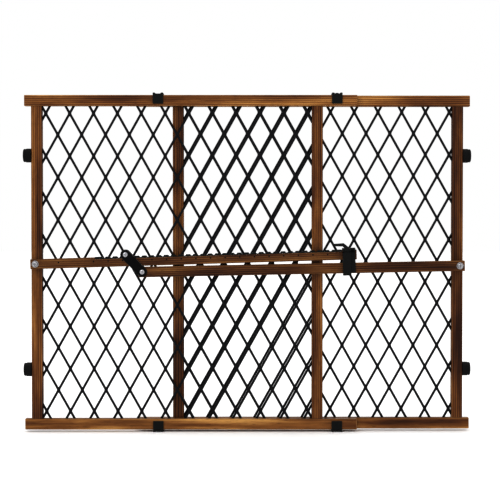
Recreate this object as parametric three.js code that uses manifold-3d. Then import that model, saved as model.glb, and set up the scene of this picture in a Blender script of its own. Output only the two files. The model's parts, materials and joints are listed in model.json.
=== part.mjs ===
// A pressure-mounted expanding safety gate: two wooden frames filled with plastic mesh slide past each
// other, and a notched bar, a lever bar, a short link and a latch press them apart in a doorway.
// Millimetres. +X runs along the gate, +Y goes through it from front to back, and +Z is up.
// The origin is under the middle of the gate, at the height of the lowest saddle clip.

import * as THREE from 'three';
import { mergeGeometries, mergeVertices } from 'three/addons/utils/BufferGeometryUtils.js';
import Module from 'manifold-3d';

const wasm = await Module();
wasm.setup();

// ---- the gate as a whole ----
const GATE_WIDTH = 782; // rubber face to rubber face, as set
const PANEL_LENGTH = 580;
const PANEL_HEIGHT = 584;
const FRAME_THICKNESS = 12.7;
const PANEL_GAP = 1.0; // between the two frames, front to back
const FIT = 0.3; // clearance where one piece seats on or in another

// ---- wooden frames ----
const RAIL_WIDTH = 19;
const STILE_WIDTH = 19;
const OUTER_OVERHANG = 12; // rail end past the outer stile
const INNER_OVERHANG = 60; // rail end past the inner stile
const GROOVE_DEPTH = 6;
const TENON_SHOULDER = 4;
const FRAME_SCREW_RADIUS = 1.4;
const FRAME_SCREW_LENGTH = 38;

// ---- diamond mesh ----
const MESH_THICKNESS = 3;
const MESH_PLAY = 0.4; // each side in the groove
const MESH_TUCK = 5.2; // how far the mesh border goes into the groove
const MESH_COLUMNS = 12;
const MESH_ROWS = 15;
const MESH_SIDE_MARGIN = 6; // from a stile to the first node
const MESH_END_MARGIN = 12.6; // from a rail to the first row of nodes
const STRAND_WIDTH = 3.4;
const SMALLEST_HOLE = 6; // square millimetres

// ---- saddle clips ----
const CLIP_WIDTH = 18;
const CLIP_WALL = 2.2;
const CLIP_TOP = 2;
const CLIP_LEG = 15;
const CLIP_RISE = 4; // ears above the rail
const CLIP_EAR_WIDTH = 5;
const CLIP_INSET = 35; // from the rail's inner end
const CLIP_SCREW_RADIUS = 1.6;
const CLIP_SCREW_DEPTH = 13;
const CLIP_SCREW_HEAD = 3.2;

// ---- rubber feet ----
const BUMPER_REACH = 14;
const BUMPER_RADIUS = 12;
const BUMPER_EDGE = 3;
const BUMPER_OFFSET = 187; // above and below mid-height
const BUMPER_BORE_DEPTH = 9;
const STUD_RADIUS = 3;
const STUD_WALL = 1; // wood left between the stud's end and the groove

// ---- bars ----
const BAR_THICKNESS = 9.5;
const BAR_STANDOFF = 4.5; // bar to front frame
const BAR_END = 8.5; // bar end past its bolt
const BAR_GAP = 1.8; // between the two bars, at the link's rivet
const NOTCHED_HEIGHT = 17;
const NOTCHED_REACH = 558; // bolt to right end
const NOTCHED_PIVOT_Z = -2; // from mid-height
const NOTCHED_SLOPE = 0.03; // radians, rising to the right
const LEVER_HEIGHT = 18;
const LEVER_REACH = 551.5; // bolt to link rivet
const LEVER_TIP = 7; // bar end past the rivet
const LEVER_PIVOT_Z = -5;
const BOLT_RADIUS = 3;
const BOLT_WALL = 1.2; // wood left between the bolt's hole and the groove
const BOLT_HEAD_RADIUS = 4.7;
const BOLT_HEAD_HEIGHT = 3.4;
const BOLT_TAIL = 1; // past the nut
const WASHER_RADIUS = 6;
const WASHER_THICKNESS = 1;
const SPACER_RADIUS = 7;
const SPACER_BLOCK = 17;
const NUT_RADIUS = 5.4;
const NUT_HEIGHT = 4.5;

// ---- rack of notches ----
const RACK_START = 104; // from the notched bar's bolt
const RACK_END_GAP = 1.5; // rack end to the latch housing
const RACK_DEPTH = 3.2;
const RACK_PROUD = 0.7; // tooth tips above the wood
const NOTCH_PITCH = 12.7;
const NOTCH_RADIUS = 2.75;
const NOTCH_DEPTH = 2.4;

// ---- link ----
const LINK_LENGTH = 42; // rivet to pin
const LINK_END_RADIUS = 9.5;
const LINK_STRAP = 2.2;
const LINK_PIN_RADIUS = 2;
const LINK_RIVET_RADIUS = 2.5;
const LINK_HEAD_RADIUS = 4.7;
const LINK_HEAD_HEIGHT = 2;
const LINK_TAIL_RADIUS = 3.4;
const LINK_TAIL_HEIGHT = 1.2;
const PIN_CLEARANCE = 0.6; // pin above the tooth tips, so that it can pass along the rack

// ---- latch ----
const LATCH_WIDTH = 22;
const LATCH_INSET = 2.5; // housing to the notched bar's right end
const LATCH_WALL = 2.2;
const LATCH_SKIRT_RISE = 0.6; // housing walls end this far above the lever bar's underside
const HOOK_WIDTH = 14;
const HOOK_THICKNESS = 3.1;
const HOOK_LIP = 3;
const HOOK_LIP_GAP = 0.6; // below the lever bar
const HOOK_BITE = 1.8; // how far the lip goes under the lever bar
const LUG_WIDTH = 2.6;
const LUG_HALF_HEIGHT = 3.6;
const HINGE_Z = 8; // latch hinge above the notched bar's middle
const HINGE_PIN_RADIUS = 1.4;
const HINGE_RADIUS = 2.9;
const SPRING_RADIUS = 2.6;
const TAB_REACH = 15;
const TAB_BOTTOM = 15; // thumb tab above the notched bar's middle
const TAB_TOP = 20.3;
const TAB_TAPER = 0.6; // each side, towards its end
const TAB_DEPTH = 5;
const HOUSING_SCREW_RADIUS = 1.4;
const HOUSING_SCREW_HEAD = 2.8;
const HOUSING_SCREW_DEPTH = 7;
const HOUSING_SCREW_PITCH = 10.12;

// ---- places worked out from the sizes ----
const HALF_HEIGHT = PANEL_HEIGHT / 2;
const OUTER_EDGE = -(GATE_WIDTH / 2 - BUMPER_REACH); // outer stile's outer edge, front panel
const RAIL_LEFT = OUTER_EDGE - OUTER_OVERHANG;
const RAIL_RIGHT = RAIL_LEFT + PANEL_LENGTH;
const INNER_EDGE = RAIL_RIGHT - INNER_OVERHANG; // inner stile's far edge
const OPENING_LEFT = OUTER_EDGE + STILE_WIDTH;
const OPENING_RIGHT = INNER_EDGE - STILE_WIDTH;
const OPENING_TOP = HALF_HEIGHT - RAIL_WIDTH;
const FRAME_MIDDLE = FRAME_THICKNESS / 2;
const DEPTH = 2 * FRAME_THICKNESS + PANEL_GAP;
const GROOVE_WIDTH = MESH_THICKNESS + 2 * MESH_PLAY;
const BAR_BACK = -BAR_STANDOFF;
const BAR_FRONT = BAR_BACK - BAR_THICKNESS;
const STUD_DEPTH = STILE_WIDTH - GROOVE_DEPTH - STUD_WALL;
const BOLT_X = OUTER_EDGE + STILE_WIDTH - GROOVE_DEPTH - BOLT_WALL - FIT - BOLT_RADIUS;
const RIVET_X = -BOLT_X - LEVER_REACH;
const BAR_SPREAD = (NOTCHED_HEIGHT + LEVER_HEIGHT) / 2 + BAR_GAP;
const LINE_Z = NOTCHED_PIVOT_Z + (RIVET_X - BOLT_X) * Math.tan(NOTCHED_SLOPE); // bar above rivet
const LEVER_SLOPE = Math.asin((LEVER_PIVOT_Z - LINE_Z + BAR_SPREAD) / LEVER_REACH);
const LATCH_START = NOTCHED_REACH - LATCH_INSET - LATCH_WIDTH; // from the notched bar's bolt
const RACK_LENGTH = LATCH_START - RACK_END_GAP - RACK_START;
const TOOTH_TIP = NOTCHED_HEIGHT / 2 + RACK_PROUD;
const HOUSING_FRONT = BAR_FRONT - FIT - LATCH_WALL;
const HOUSING_BACK = BAR_BACK + FIT + LATCH_WALL;
const HINGE_Y = HOUSING_FRONT - FIT - HINGE_RADIUS;
const LATCH_FRONT = HINGE_Y - HINGE_RADIUS;
const GATE_BACK = DEPTH + FIT + NUT_HEIGHT + BOLT_TAIL;
const MIDDLE_Y = (LATCH_FRONT + GATE_BACK) / 2;

const material = (color, roughness, metalness) =>
  new THREE.MeshStandardMaterial({ color, roughness, metalness });
const walnut = material(0x6e452a, 0.55, 0);
const barWood = material(0x5f3822, 0.5, 0);
const blackPlastic = material(0x15171a, 0.45, 0);
const meshPlastic = material(0x0d0e11, 0.5, 0);
const rubber = material(0x141414, 0.85, 0);
const blackSteel = material(0x121212, 0.35, 0.4);
const steel = material(0xc9c9cc, 0.3, 1);

// ---- shape helpers ----
const axisX = new THREE.Vector3(1, 0, 0);
const axisY = new THREE.Vector3(0, 1, 0);
const axisZ = new THREE.Vector3(0, 0, 1);

// Merges shared corners, drops collapsed faces and turns the faces outwards.
function closed(geometry) {
  const bare = geometry.clone();
  bare.deleteAttribute('normal');
  bare.deleteAttribute('uv');
  const merged = mergeVertices(bare, 1e-4);
  const point = (i) => new THREE.Vector3().fromBufferAttribute(merged.attributes.position, i);
  const index = merged.index.array;
  const faces = [];
  let volume = 0;
  for (let i = 0; i < index.length; i += 3) {
    const [a, b, c] = index.slice(i, i + 3);
    if (a === b || b === c || c === a) continue;
    faces.push([a, b, c]);
    volume += point(a).dot(point(b).cross(point(c)));
  }
  if (volume < 0) faces.forEach((face) => face.reverse());
  merged.setIndex(faces.flat());
  return merged;
}

function toSolid(geometry) {
  const shape = closed(geometry);
  const vertProperties = new Float32Array(shape.attributes.position.array);
  const triVerts = new Uint32Array(shape.index.array);
  return new wasm.Manifold(new wasm.Mesh({ numProp: 3, vertProperties, triVerts }));
}

function toGeometry(solid) {
  const { vertProperties, triVerts } = solid.getMesh();
  const geometry = new THREE.BufferGeometry();
  geometry.setAttribute('position', new THREE.BufferAttribute(vertProperties, 3));
  geometry.setIndex(new THREE.BufferAttribute(triVerts, 1));
  geometry.computeVertexNormals();
  return geometry;
}

const cut = (geometry, ...tools) =>
  toGeometry(tools.reduce((solid, tool) => solid.subtract(toSolid(tool)), toSolid(geometry)));
const join = (geometry, ...others) =>
  toGeometry(others.reduce((solid, other) => solid.add(toSolid(other)), toSolid(geometry)));

function block([x0, x1], [y0, y1], [z0, z1]) {
  const box = new THREE.BoxGeometry(x1 - x0, y1 - y0, z1 - z0);
  return box.translate((x0 + x1) / 2, (y0 + y1) / 2, (z0 + z1) / 2);
}

// Turns a shape's own axes onto three of the gate's, so that its extrusion runs along the third.
const turned = (geometry, u, v, w) =>
  geometry.applyMatrix4(new THREE.Matrix4().makeBasis(u, v, w));

function extrude(shape, length, curveSegments = 6) {
  return new THREE.ExtrudeGeometry(shape, { depth: length, bevelEnabled: false, curveSegments });
}

// An outline in X and Z, extruded through the gate from y0 to y1.
function plateXZ(shape, y0, y1, curveSegments) {
  const geometry = extrude(shape, y1 - y0, curveSegments);
  return geometry.rotateX(Math.PI / 2).translate(0, y1, 0);
}

// An outline in Y and Z, extruded along the gate from x0 to x1.
function plateYZ(shape, x0, x1, curveSegments) {
  return turned(extrude(shape, x1 - x0, curveSegments), axisY, axisZ, axisX).translate(x0, 0, 0);
}

const outline = (points) => new THREE.Shape(points.map(([x, y]) => new THREE.Vector2(x, y)));

// A turned piece. Its profile is [radius, height] pairs, and its height runs along the given axis.
function lathe(profile, axis, segments = 14) {
  const points = profile.map(([radius, height]) => new THREE.Vector2(radius, height));
  const geometry = new THREE.LatheGeometry(points, segments);
  const quaternion = new THREE.Quaternion().setFromUnitVectors(axisY, axis);
  return closed(geometry.applyQuaternion(quaternion));
}

function rod(radius, from, to, axis, segments = 14) {
  return lathe([[0, from], [radius, from], [radius, to], [0, to]], axis, segments);
}

function tube(outer, inner, from, to, axis, segments = 14) {
  const profile = [[inner, from], [outer, from], [outer, to], [inner, to], [inner, from]];
  return lathe(profile, axis, segments);
}

// A countersunk wood screw with its head's face at height 0, pointing down its axis.
function countersunk(radius, head, length, grow, axis, segments = 8) {
  const wide = head + grow;
  const thin = radius + grow;
  const neck = head - radius;
  const tip = length + grow;
  const profile = [[0, 0], [wide, 0], [thin, -neck], [thin, -tip + radius], [0, -tip]];
  return lathe(profile, axis, segments);
}

function add(parent, name, geometry, finish) {
  const mesh = new THREE.Mesh(geometry, finish.clone());
  mesh.name = name;
  parent.add(mesh);
  return mesh;
}

// ---- one wooden frame: the front panel, and the rear one turned round ----
const stiles = [
  { name: 'outer_stile', left: OUTER_EDGE, side: -1 },
  { name: 'inner_stile', left: OPENING_RIGHT, side: 1 },
];
const ends = [
  { name: 'top', up: 1 },
  { name: 'bottom', up: -1 },
];

// The tenon's two edges: it stands clear of the mesh's corner.
function tenonSpan({ left, side }) {
  const outer = side < 0 ? left + TENON_SHOULDER : left + STILE_WIDTH - TENON_SHOULDER;
  const inner = side < 0 ? left + STILE_WIDTH - GROOVE_DEPTH - FIT : left + GROOVE_DEPTH + FIT;
  return [Math.min(outer, inner), Math.max(outer, inner)];
}

const tenonMiddle = (stile) => (tenonSpan(stile)[0] + tenonSpan(stile)[1]) / 2;
const grooveSpan = [FRAME_MIDDLE - GROOVE_WIDTH / 2, FRAME_MIDDLE + GROOVE_WIDTH / 2];

function frameScrew(stile, up, grow) {
  const axis = up > 0 ? axisZ : axisZ.clone().negate();
  const length = FRAME_SCREW_LENGTH;
  const screw = countersunk(FRAME_SCREW_RADIUS, 2 * FRAME_SCREW_RADIUS, length, grow, axis);
  return screw.translate(tenonMiddle(stile), FRAME_MIDDLE, up * (HALF_HEIGHT - FIT + grow));
}

function rail(up) {
  const body = block([RAIL_LEFT, RAIL_RIGHT], [0, FRAME_THICKNESS], [OPENING_TOP, HALF_HEIGHT]);
  const grooveLeft = tenonSpan(stiles[0])[0] - FIT;
  const grooveRight = tenonSpan(stiles[1])[1] + FIT;
  const grooveZ = [OPENING_TOP - 1, OPENING_TOP + GROOVE_DEPTH];
  const groove = block([grooveLeft, grooveRight], grooveSpan, grooveZ);
  const screws = stiles.map((stile) => frameScrew(stile, 1, FIT));
  const clipHole = rod(CLIP_SCREW_RADIUS + FIT, -CLIP_SCREW_DEPTH - FIT, 1, axisZ, 10);
  clipHole.translate(RAIL_RIGHT - CLIP_INSET, FRAME_MIDDLE, HALF_HEIGHT);
  const top = cut(body, groove, ...screws, clipHole);
  if (up > 0) return top;
  return closed(top.scale(1, 1, -1));
}

function stile(spec, pivotZ) {
  const half = OPENING_TOP - FIT;
  const right = spec.left + STILE_WIDTH;
  const body = block([spec.left, right], [0, FRAME_THICKNESS], [-half, half]);
  const tenonY = [grooveSpan[0] + FIT, grooveSpan[1] - FIT];
  const tenonTop = OPENING_TOP + GROOVE_DEPTH - FIT;
  const tenon = block(tenonSpan(spec), tenonY, [-tenonTop, tenonTop]);
  const grooveX = [right - GROOVE_DEPTH, right + 1];
  if (spec.side > 0) grooveX.splice(0, 2, spec.left - 1, spec.left + GROOVE_DEPTH);
  const cuts = [block(grooveX, grooveSpan, [-half - 1, half + 1])];
  for (const { up } of ends) cuts.push(frameScrew(spec, up, FIT));
  if (spec.side < 0) {
    for (const { up } of ends) {
      const bore = rod(STUD_RADIUS + FIT, -1, STUD_DEPTH + FIT, axisX);
      cuts.push(bore.translate(OUTER_EDGE, FRAME_MIDDLE, up * BUMPER_OFFSET));
    }
    const boltHole = rod(BOLT_RADIUS + FIT, -1, FRAME_THICKNESS + 1, axisY);
    cuts.push(boltHole.translate(BOLT_X, 0, pivotZ));
  }
  return cut(join(body, tenon), ...cuts);
}

// Cuts an outline off at one side of an upright or level line.
function clipOutline(points, axis, limit, sign) {
  const kept = [];
  points.forEach((here, i) => {
    const next = points[(i + 1) % points.length];
    const inside = sign * (limit - here[axis]) >= 0;
    const nextInside = sign * (limit - next[axis]) >= 0;
    if (inside) kept.push(here);
    if (inside === nextInside) return;
    const share = (limit - here[axis]) / (next[axis] - here[axis]);
    kept.push([here[0] + share * (next[0] - here[0]), here[1] + share * (next[1] - here[1])]);
  });
  return kept;
}

function diamondMesh() {
  const pitch = (OPENING_RIGHT - OPENING_LEFT - 2 * MESH_SIDE_MARGIN) / (MESH_COLUMNS - 1);
  const row = (2 * OPENING_TOP - 2 * MESH_END_MARGIN) / (MESH_ROWS - 1);
  const across = pitch / 2;
  const shrink = 1 - (STRAND_WIDTH / 2) * (Math.hypot(across, row) / (across * row));
  const face = FRAME_MIDDLE - MESH_THICKNESS / 2;
  const holes = [];
  for (let j = -1; j <= MESH_ROWS; j += 1) {
    const shift = j % 2 === 0 ? 0.5 : 0;
    for (let i = -1; i <= MESH_COLUMNS; i += 1) {
      const x = OPENING_LEFT + MESH_SIDE_MARGIN + (i + shift) * pitch;
      const z = OPENING_TOP - MESH_END_MARGIN - j * row;
      const reach = [shrink * across, shrink * row];
      let hole = [[x - reach[0], z], [x, z - reach[1]], [x + reach[0], z], [x, z + reach[1]]];
      hole = clipOutline(hole, 0, OPENING_RIGHT + FIT, 1);
      hole = clipOutline(hole, 0, OPENING_LEFT - FIT, -1);
      hole = clipOutline(hole, 1, OPENING_TOP + FIT, 1);
      hole = clipOutline(hole, 1, -OPENING_TOP - FIT, -1);
      if (hole.length < 3) continue;
      const shape = outline(hole);
      if (Math.abs(THREE.ShapeUtils.area(shape.getPoints())) < SMALLEST_HOLE) continue;
      holes.push(plateXZ(shape, face - 1, face + MESH_THICKNESS + 1));
    }
  }
  const plateX = [OPENING_LEFT - MESH_TUCK, OPENING_RIGHT + MESH_TUCK];
  const plateZ = [-OPENING_TOP - MESH_TUCK, OPENING_TOP + MESH_TUCK];
  return cut(block(plateX, [face, face + MESH_THICKNESS], plateZ), mergeGeometries(holes));
}

// A saddle over both top rails, screwed to its own panel's rail in the dip between two ears.
function saddleClip() {
  const x = RAIL_RIGHT - CLIP_INSET;
  const span = [x - CLIP_WIDTH / 2, x + CLIP_WIDTH / 2];
  const under = HALF_HEIGHT + FIT;
  const plate = under + CLIP_TOP;
  const foot = HALF_HEIGHT - CLIP_LEG;
  const outside = [-FIT - CLIP_WALL, DEPTH + FIT + CLIP_WALL];
  const channel = outline([
    [outside[0], foot], [-FIT, foot], [-FIT, under], [DEPTH + FIT, under],
    [DEPTH + FIT, foot], [outside[1], foot], [outside[1], plate], [outside[0], plate],
  ]);
  const slope = CLIP_RISE - FIT - CLIP_TOP;
  const ears = [-1, 1].map((side) => {
    const edge = x + side * CLIP_WIDTH / 2;
    const ear = outline([
      [edge, plate - 1], [edge, HALF_HEIGHT + CLIP_RISE],
      [edge - side * (CLIP_EAR_WIDTH - slope), HALF_HEIGHT + CLIP_RISE],
      [edge - side * CLIP_EAR_WIDTH, plate], [edge - side * CLIP_EAR_WIDTH, plate - 1],
    ]);
    return plateXZ(ear, outside[0], outside[1]);
  });
  const hole = rod(CLIP_SCREW_RADIUS + FIT, -2 * CLIP_TOP, CLIP_TOP, axisZ, 10);
  hole.translate(x, FRAME_MIDDLE, plate);
  return cut(join(plateYZ(channel, span[0], span[1]), ...ears), hole);
}

function clipScrew() {
  const seat = HALF_HEIGHT + FIT + CLIP_TOP + FIT;
  const tip = HALF_HEIGHT - CLIP_SCREW_DEPTH;
  const dome = CLIP_RISE - FIT - CLIP_TOP - FIT;
  const profile = [
    [0, tip], [CLIP_SCREW_RADIUS, tip + 2], [CLIP_SCREW_RADIUS, seat], [CLIP_SCREW_HEAD, seat],
    [CLIP_SCREW_HEAD * 0.7, seat + dome * 0.9], [0, seat + dome],
  ];
  return lathe(profile, axisZ, 10).translate(RAIL_RIGHT - CLIP_INSET, FRAME_MIDDLE, 0);
}

function bumper() {
  const steps = 2;
  const edge = [];
  for (let i = 0; i <= steps; i += 1) {
    const turn = (i / steps) * (Math.PI / 2);
    const radius = BUMPER_RADIUS - BUMPER_EDGE * (1 - Math.cos(turn));
    edge.push([radius, BUMPER_REACH - BUMPER_EDGE * (1 - Math.sin(turn))]);
  }
  const bore = STUD_RADIUS + FIT;
  const profile = [
    [bore, FIT], [BUMPER_RADIUS, FIT], ...edge, [0, BUMPER_REACH],
    [0, BUMPER_BORE_DEPTH], [bore, BUMPER_BORE_DEPTH], [bore, FIT],
  ];
  return lathe(profile, axisX.clone().negate(), 20);
}

const studSpan = [-STUD_DEPTH, BUMPER_BORE_DEPTH - FIT];
const stud = () => rod(STUD_RADIUS, ...studSpan, axisX.clone().negate(), 10);

const upsideDown = (geometry, up) => (up > 0 ? geometry : closed(geometry.scale(1, 1, -1)));

function panel(name, pivotZ) {
  const group = new THREE.Group();
  for (const spec of stiles) add(group, `${name}_${spec.name}`, stile(spec, pivotZ), walnut);
  add(group, `${name}_mesh`, diamondMesh(), meshPlastic);
  for (const end of ends) {
    add(group, `${name}_${end.name}_rail`, rail(end.up), walnut);
    for (const spec of stiles) {
      const joint = spec.side < 0 ? 'outer' : 'inner';
      add(group, `${name}_${end.name}_${joint}_screw`, frameScrew(spec, end.up, 0), steel);
    }
    add(group, `${name}_${end.name}_clip`, upsideDown(saddleClip(), end.up), blackPlastic);
    add(group, `${name}_${end.name}_clip_screw`, upsideDown(clipScrew(), end.up), blackSteel);
    const foot = add(group, `${name}_${end.name}_bumper`, bumper(), rubber);
    foot.position.set(OUTER_EDGE, FRAME_MIDDLE, end.up * BUMPER_OFFSET);
    const post = add(group, `${name}_${end.name}_bumper_stud`, stud(), steel);
    post.position.copy(foot.position);
  }
  return group;
}

// ---- bolts on which the bars turn, from the bar's front to behind a frame ----
const hexagon = (radius, from, to) => rod(radius, from, to, axisY, 6);

function barBolt(frameBack) {
  const seat = BAR_FRONT - WASHER_THICKNESS - 2 * FIT;
  const tail = frameBack + FIT + NUT_HEIGHT + BOLT_TAIL;
  const head = hexagon(BOLT_HEAD_RADIUS, seat - BOLT_HEAD_HEIGHT, seat);
  return join(head, rod(BOLT_RADIUS, seat - 1, tail, axisY, 16));
}

const bore = BOLT_RADIUS + FIT;
const washerSpan = [BAR_FRONT - FIT - WASHER_THICKNESS, BAR_FRONT - FIT];
const barWasher = () => tube(WASHER_RADIUS, bore, ...washerSpan, axisY);

function nut(frameBack) {
  const from = frameBack + FIT;
  const drill = rod(bore, from - 1, from + NUT_HEIGHT + 1, axisY, 16);
  return cut(hexagon(NUT_RADIUS, from, from + NUT_HEIGHT), drill);
}

// ---- notched bar, with its rack and latch, in a frame of its own at the bolt ----
const toHinge = (geometry) => geometry.translate(0, HINGE_Y, HINGE_Z);

function notchedBar() {
  const half = NOTCHED_HEIGHT / 2;
  const body = block([-BAR_END, NOTCHED_REACH], [BAR_FRONT, BAR_BACK], [-half, half]);
  const seat = [RACK_START - FIT, RACK_START + RACK_LENGTH + FIT];
  const rebate = block(seat, [BAR_FRONT - 1, BAR_BACK + 1], [half - RACK_DEPTH, half + 1]);
  const boltHole = rod(bore, BAR_FRONT - 1, BAR_BACK + 1, axisY);
  return cut(body, rebate, boltHole, ...housingScrewPlaces.map((x) => housingScrew(x, FIT)));
}

function notchRack(pinPlace) {
  const bottom = NOTCHED_HEIGHT / 2 - RACK_DEPTH + FIT;
  const end = RACK_START + RACK_LENGTH;
  const shape = new THREE.Shape();
  shape.moveTo(RACK_START, bottom);
  shape.lineTo(end, bottom);
  shape.lineTo(end, TOOTH_TIP);
  const centre = TOOTH_TIP - NOTCH_DEPTH + NOTCH_RADIUS;
  const dip = Math.asin((centre - TOOTH_TIP) / NOTCH_RADIUS);
  const land = (NOTCH_PITCH - 2 * NOTCH_RADIUS) / 2;
  const last = Math.floor((end - land - NOTCH_RADIUS - pinPlace) / NOTCH_PITCH);
  for (let k = last; pinPlace + k * NOTCH_PITCH > RACK_START + land + NOTCH_RADIUS; k -= 1) {
    const x = pinPlace + k * NOTCH_PITCH;
    shape.lineTo(x + NOTCH_RADIUS * Math.cos(dip), TOOTH_TIP);
    shape.absarc(x, centre, NOTCH_RADIUS, -dip, -Math.PI + dip, true);
  }
  shape.lineTo(RACK_START, TOOTH_TIP);
  return closed(plateXZ(shape, BAR_FRONT, BAR_BACK, 2));
}

const housingScrewPlaces = [-1, 1].map(
  (side) => LATCH_START + (LATCH_WIDTH + side * HOUSING_SCREW_PITCH) / 2,
);

function housingScrew(x, grow) {
  const length = LATCH_WALL + FIT + HOUSING_SCREW_DEPTH;
  const screw = countersunk(HOUSING_SCREW_RADIUS, HOUSING_SCREW_HEAD, length, grow, axisY);
  return screw.translate(x, HOUSING_BACK - FIT + grow, 0);
}

// A hinge ear: a round nose on the pin, tapering back to the housing's front wall.
function lug(x0, x1) {
  const shape = new THREE.Shape();
  const wall = HOUSING_FRONT + 1;
  shape.moveTo(wall, HINGE_Z - LUG_HALF_HEIGHT);
  shape.lineTo(wall, HINGE_Z + LUG_HALF_HEIGHT);
  shape.lineTo(HINGE_Y, HINGE_Z + HINGE_RADIUS);
  shape.absarc(HINGE_Y, HINGE_Z, HINGE_RADIUS, Math.PI / 2, 1.5 * Math.PI, false);
  return plateYZ(shape, x0, x1, 6);
}

const hingeEars = [
  [LATCH_START, LATCH_START + LUG_WIDTH],
  [LATCH_START + HOOK_WIDTH - LUG_WIDTH, LATCH_START + HOOK_WIDTH],
  [LATCH_START + LATCH_WIDTH - LUG_WIDTH, LATCH_START + LATCH_WIDTH],
];

function latchHousing(leverUnderside) {
  const roof = TOOTH_TIP + FIT;
  const skirt = leverUnderside + LATCH_SKIRT_RISE;
  const [front, back] = [BAR_FRONT - FIT, BAR_BACK + FIT];
  const section = outline([
    [HOUSING_FRONT, skirt], [front, skirt], [front, roof], [back, roof],
    [back, skirt], [HOUSING_BACK, skirt],
    [HOUSING_BACK, roof + LATCH_WALL], [HOUSING_FRONT, roof + LATCH_WALL],
  ]);
  const shell = plateYZ(section, LATCH_START, LATCH_START + LATCH_WIDTH);
  const body = join(shell, ...hingeEars.map(([x0, x1]) => lug(x0, x1)));
  const through = [LATCH_START - 1, LATCH_START + LATCH_WIDTH + 1];
  const drill = toHinge(rod(HINGE_PIN_RADIUS + FIT, ...through, axisX, 10));
  return cut(body, drill, ...housingScrewPlaces.map((x) => housingScrew(x, FIT)));
}

function latchSpring() {
  const [from, to] = [hingeEars[1][1] + FIT, hingeEars[2][0] - FIT];
  return toHinge(tube(SPRING_RADIUS, HINGE_PIN_RADIUS + FIT, from, to, axisX, 16));
}

function hingePin() {
  const span = [LATCH_START + FIT, LATCH_START + LATCH_WIDTH - FIT];
  return toHinge(rod(HINGE_PIN_RADIUS, ...span, axisX, 10));
}

// The hook: a strap down the front with a lip under the lever bar, and a thumb tab above its hinge.
function latchHook(leverUnderside) {
  const back = HOUSING_FRONT - FIT;
  const strapY = [back - HOOK_THICKNESS, back];
  const lipTop = leverUnderside - HOOK_LIP_GAP;
  const lipBottom = lipTop - HOOK_LIP;
  const width = [LATCH_START, LATCH_START + HOOK_WIDTH];
  const knuckle = [hingeEars[0][1] + FIT, hingeEars[1][0] - FIT];
  const shoulder = HINGE_Z - LUG_HALF_HEIGHT - FIT;
  const strap = block(width, strapY, [lipBottom, shoulder]);
  const lip = block(width, [back - 1, BAR_FRONT + HOOK_BITE], [lipBottom, lipTop]);
  const neck = block(knuckle, strapY, [shoulder - 1, HINGE_Z]);
  const barrel = toHinge(rod(HINGE_RADIUS, knuckle[0], knuckle[1], axisX, 16));
  const crown = outline([
    [knuckle[0], HINGE_Z], [knuckle[1], HINGE_Z], [knuckle[1], HINGE_Z + LUG_HALF_HEIGHT + 1],
    [knuckle[0] - 1, TAB_TOP], [LATCH_START - TAB_REACH, TAB_TOP - TAB_TAPER],
    [LATCH_START - TAB_REACH, TAB_BOTTOM + TAB_TAPER], [LATCH_START, TAB_BOTTOM],
    [knuckle[0], TAB_BOTTOM - 3],
  ]);
  const head = plateXZ(crown, LATCH_FRONT, LATCH_FRONT + HOOK_THICKNESS);
  const tabSpan = [LATCH_START - TAB_REACH, LATCH_START];
  const tabZ = [TAB_BOTTOM + TAB_TAPER, TAB_TOP - TAB_TAPER];
  const tab = block(tabSpan, [LATCH_FRONT, LATCH_FRONT + TAB_DEPTH], tabZ);
  const drill = toHinge(rod(HINGE_PIN_RADIUS + FIT, knuckle[0] - 1, knuckle[1] + 1, axisX, 10));
  return cut(join(strap, lip, neck, barrel, head, tab), drill);
}

// ---- lever bar, from its bolt to the left ----
function leverBar() {
  const half = LEVER_HEIGHT / 2;
  const body = block([-LEVER_REACH - LEVER_TIP, BAR_END], [BAR_FRONT, BAR_BACK], [-half, half]);
  const boltHole = rod(bore, BAR_FRONT - 1, BAR_BACK + 1, axisY);
  const rivetHole = rod(LINK_RIVET_RADIUS + FIT, BAR_FRONT - 1, BAR_BACK + 1, axisY);
  return cut(body, boltHole, rivetHole.translate(-LEVER_REACH, 0, 0));
}

// ---- link, standing up from its rivet ----
function linkStrap(y0, y1) {
  const shape = new THREE.Shape();
  shape.absarc(0, 0, LINK_END_RADIUS, Math.PI, 2 * Math.PI, false);
  shape.absarc(0, LINK_LENGTH, LINK_END_RADIUS, 0, Math.PI, false);
  const holes = [[0, LINK_RIVET_RADIUS], [LINK_LENGTH, LINK_PIN_RADIUS]];
  for (const [height, radius] of holes) {
    const hole = new THREE.Path();
    hole.absarc(0, height, radius + FIT, 0, 2 * Math.PI, true);
    shape.holes.push(hole);
  }
  return closed(plateXZ(shape, y0, y1, 8));
}

function linkRivet(radius) {
  const seat = BAR_FRONT - LINK_STRAP - 2 * FIT;
  const clench = BAR_BACK + LINK_STRAP + 2 * FIT;
  const profile = [
    [0, seat - LINK_HEAD_HEIGHT], [LINK_HEAD_RADIUS * 0.55, seat - LINK_HEAD_HEIGHT * 0.9],
    [LINK_HEAD_RADIUS * 0.9, seat - LINK_HEAD_HEIGHT * 0.45], [LINK_HEAD_RADIUS, seat],
    [radius, seat], [radius, clench], [LINK_TAIL_RADIUS, clench],
    [LINK_TAIL_RADIUS, clench + LINK_TAIL_HEIGHT], [0, clench + LINK_TAIL_HEIGHT],
  ];
  return lathe(profile, axisY, 16);
}

// ---- the gate put together, with heights measured from mid-height ----
const gate = new THREE.Group();
const middle = new THREE.Group();
middle.position.set(0, -MIDDLE_Y, HALF_HEIGHT + CLIP_RISE);
gate.add(middle);

middle.add(panel('front', NOTCHED_PIVOT_Z));
const rearPanel = panel('rear', LEVER_PIVOT_Z);
rearPanel.rotation.z = Math.PI;
rearPanel.position.y = DEPTH;
middle.add(rearPanel);

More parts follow.
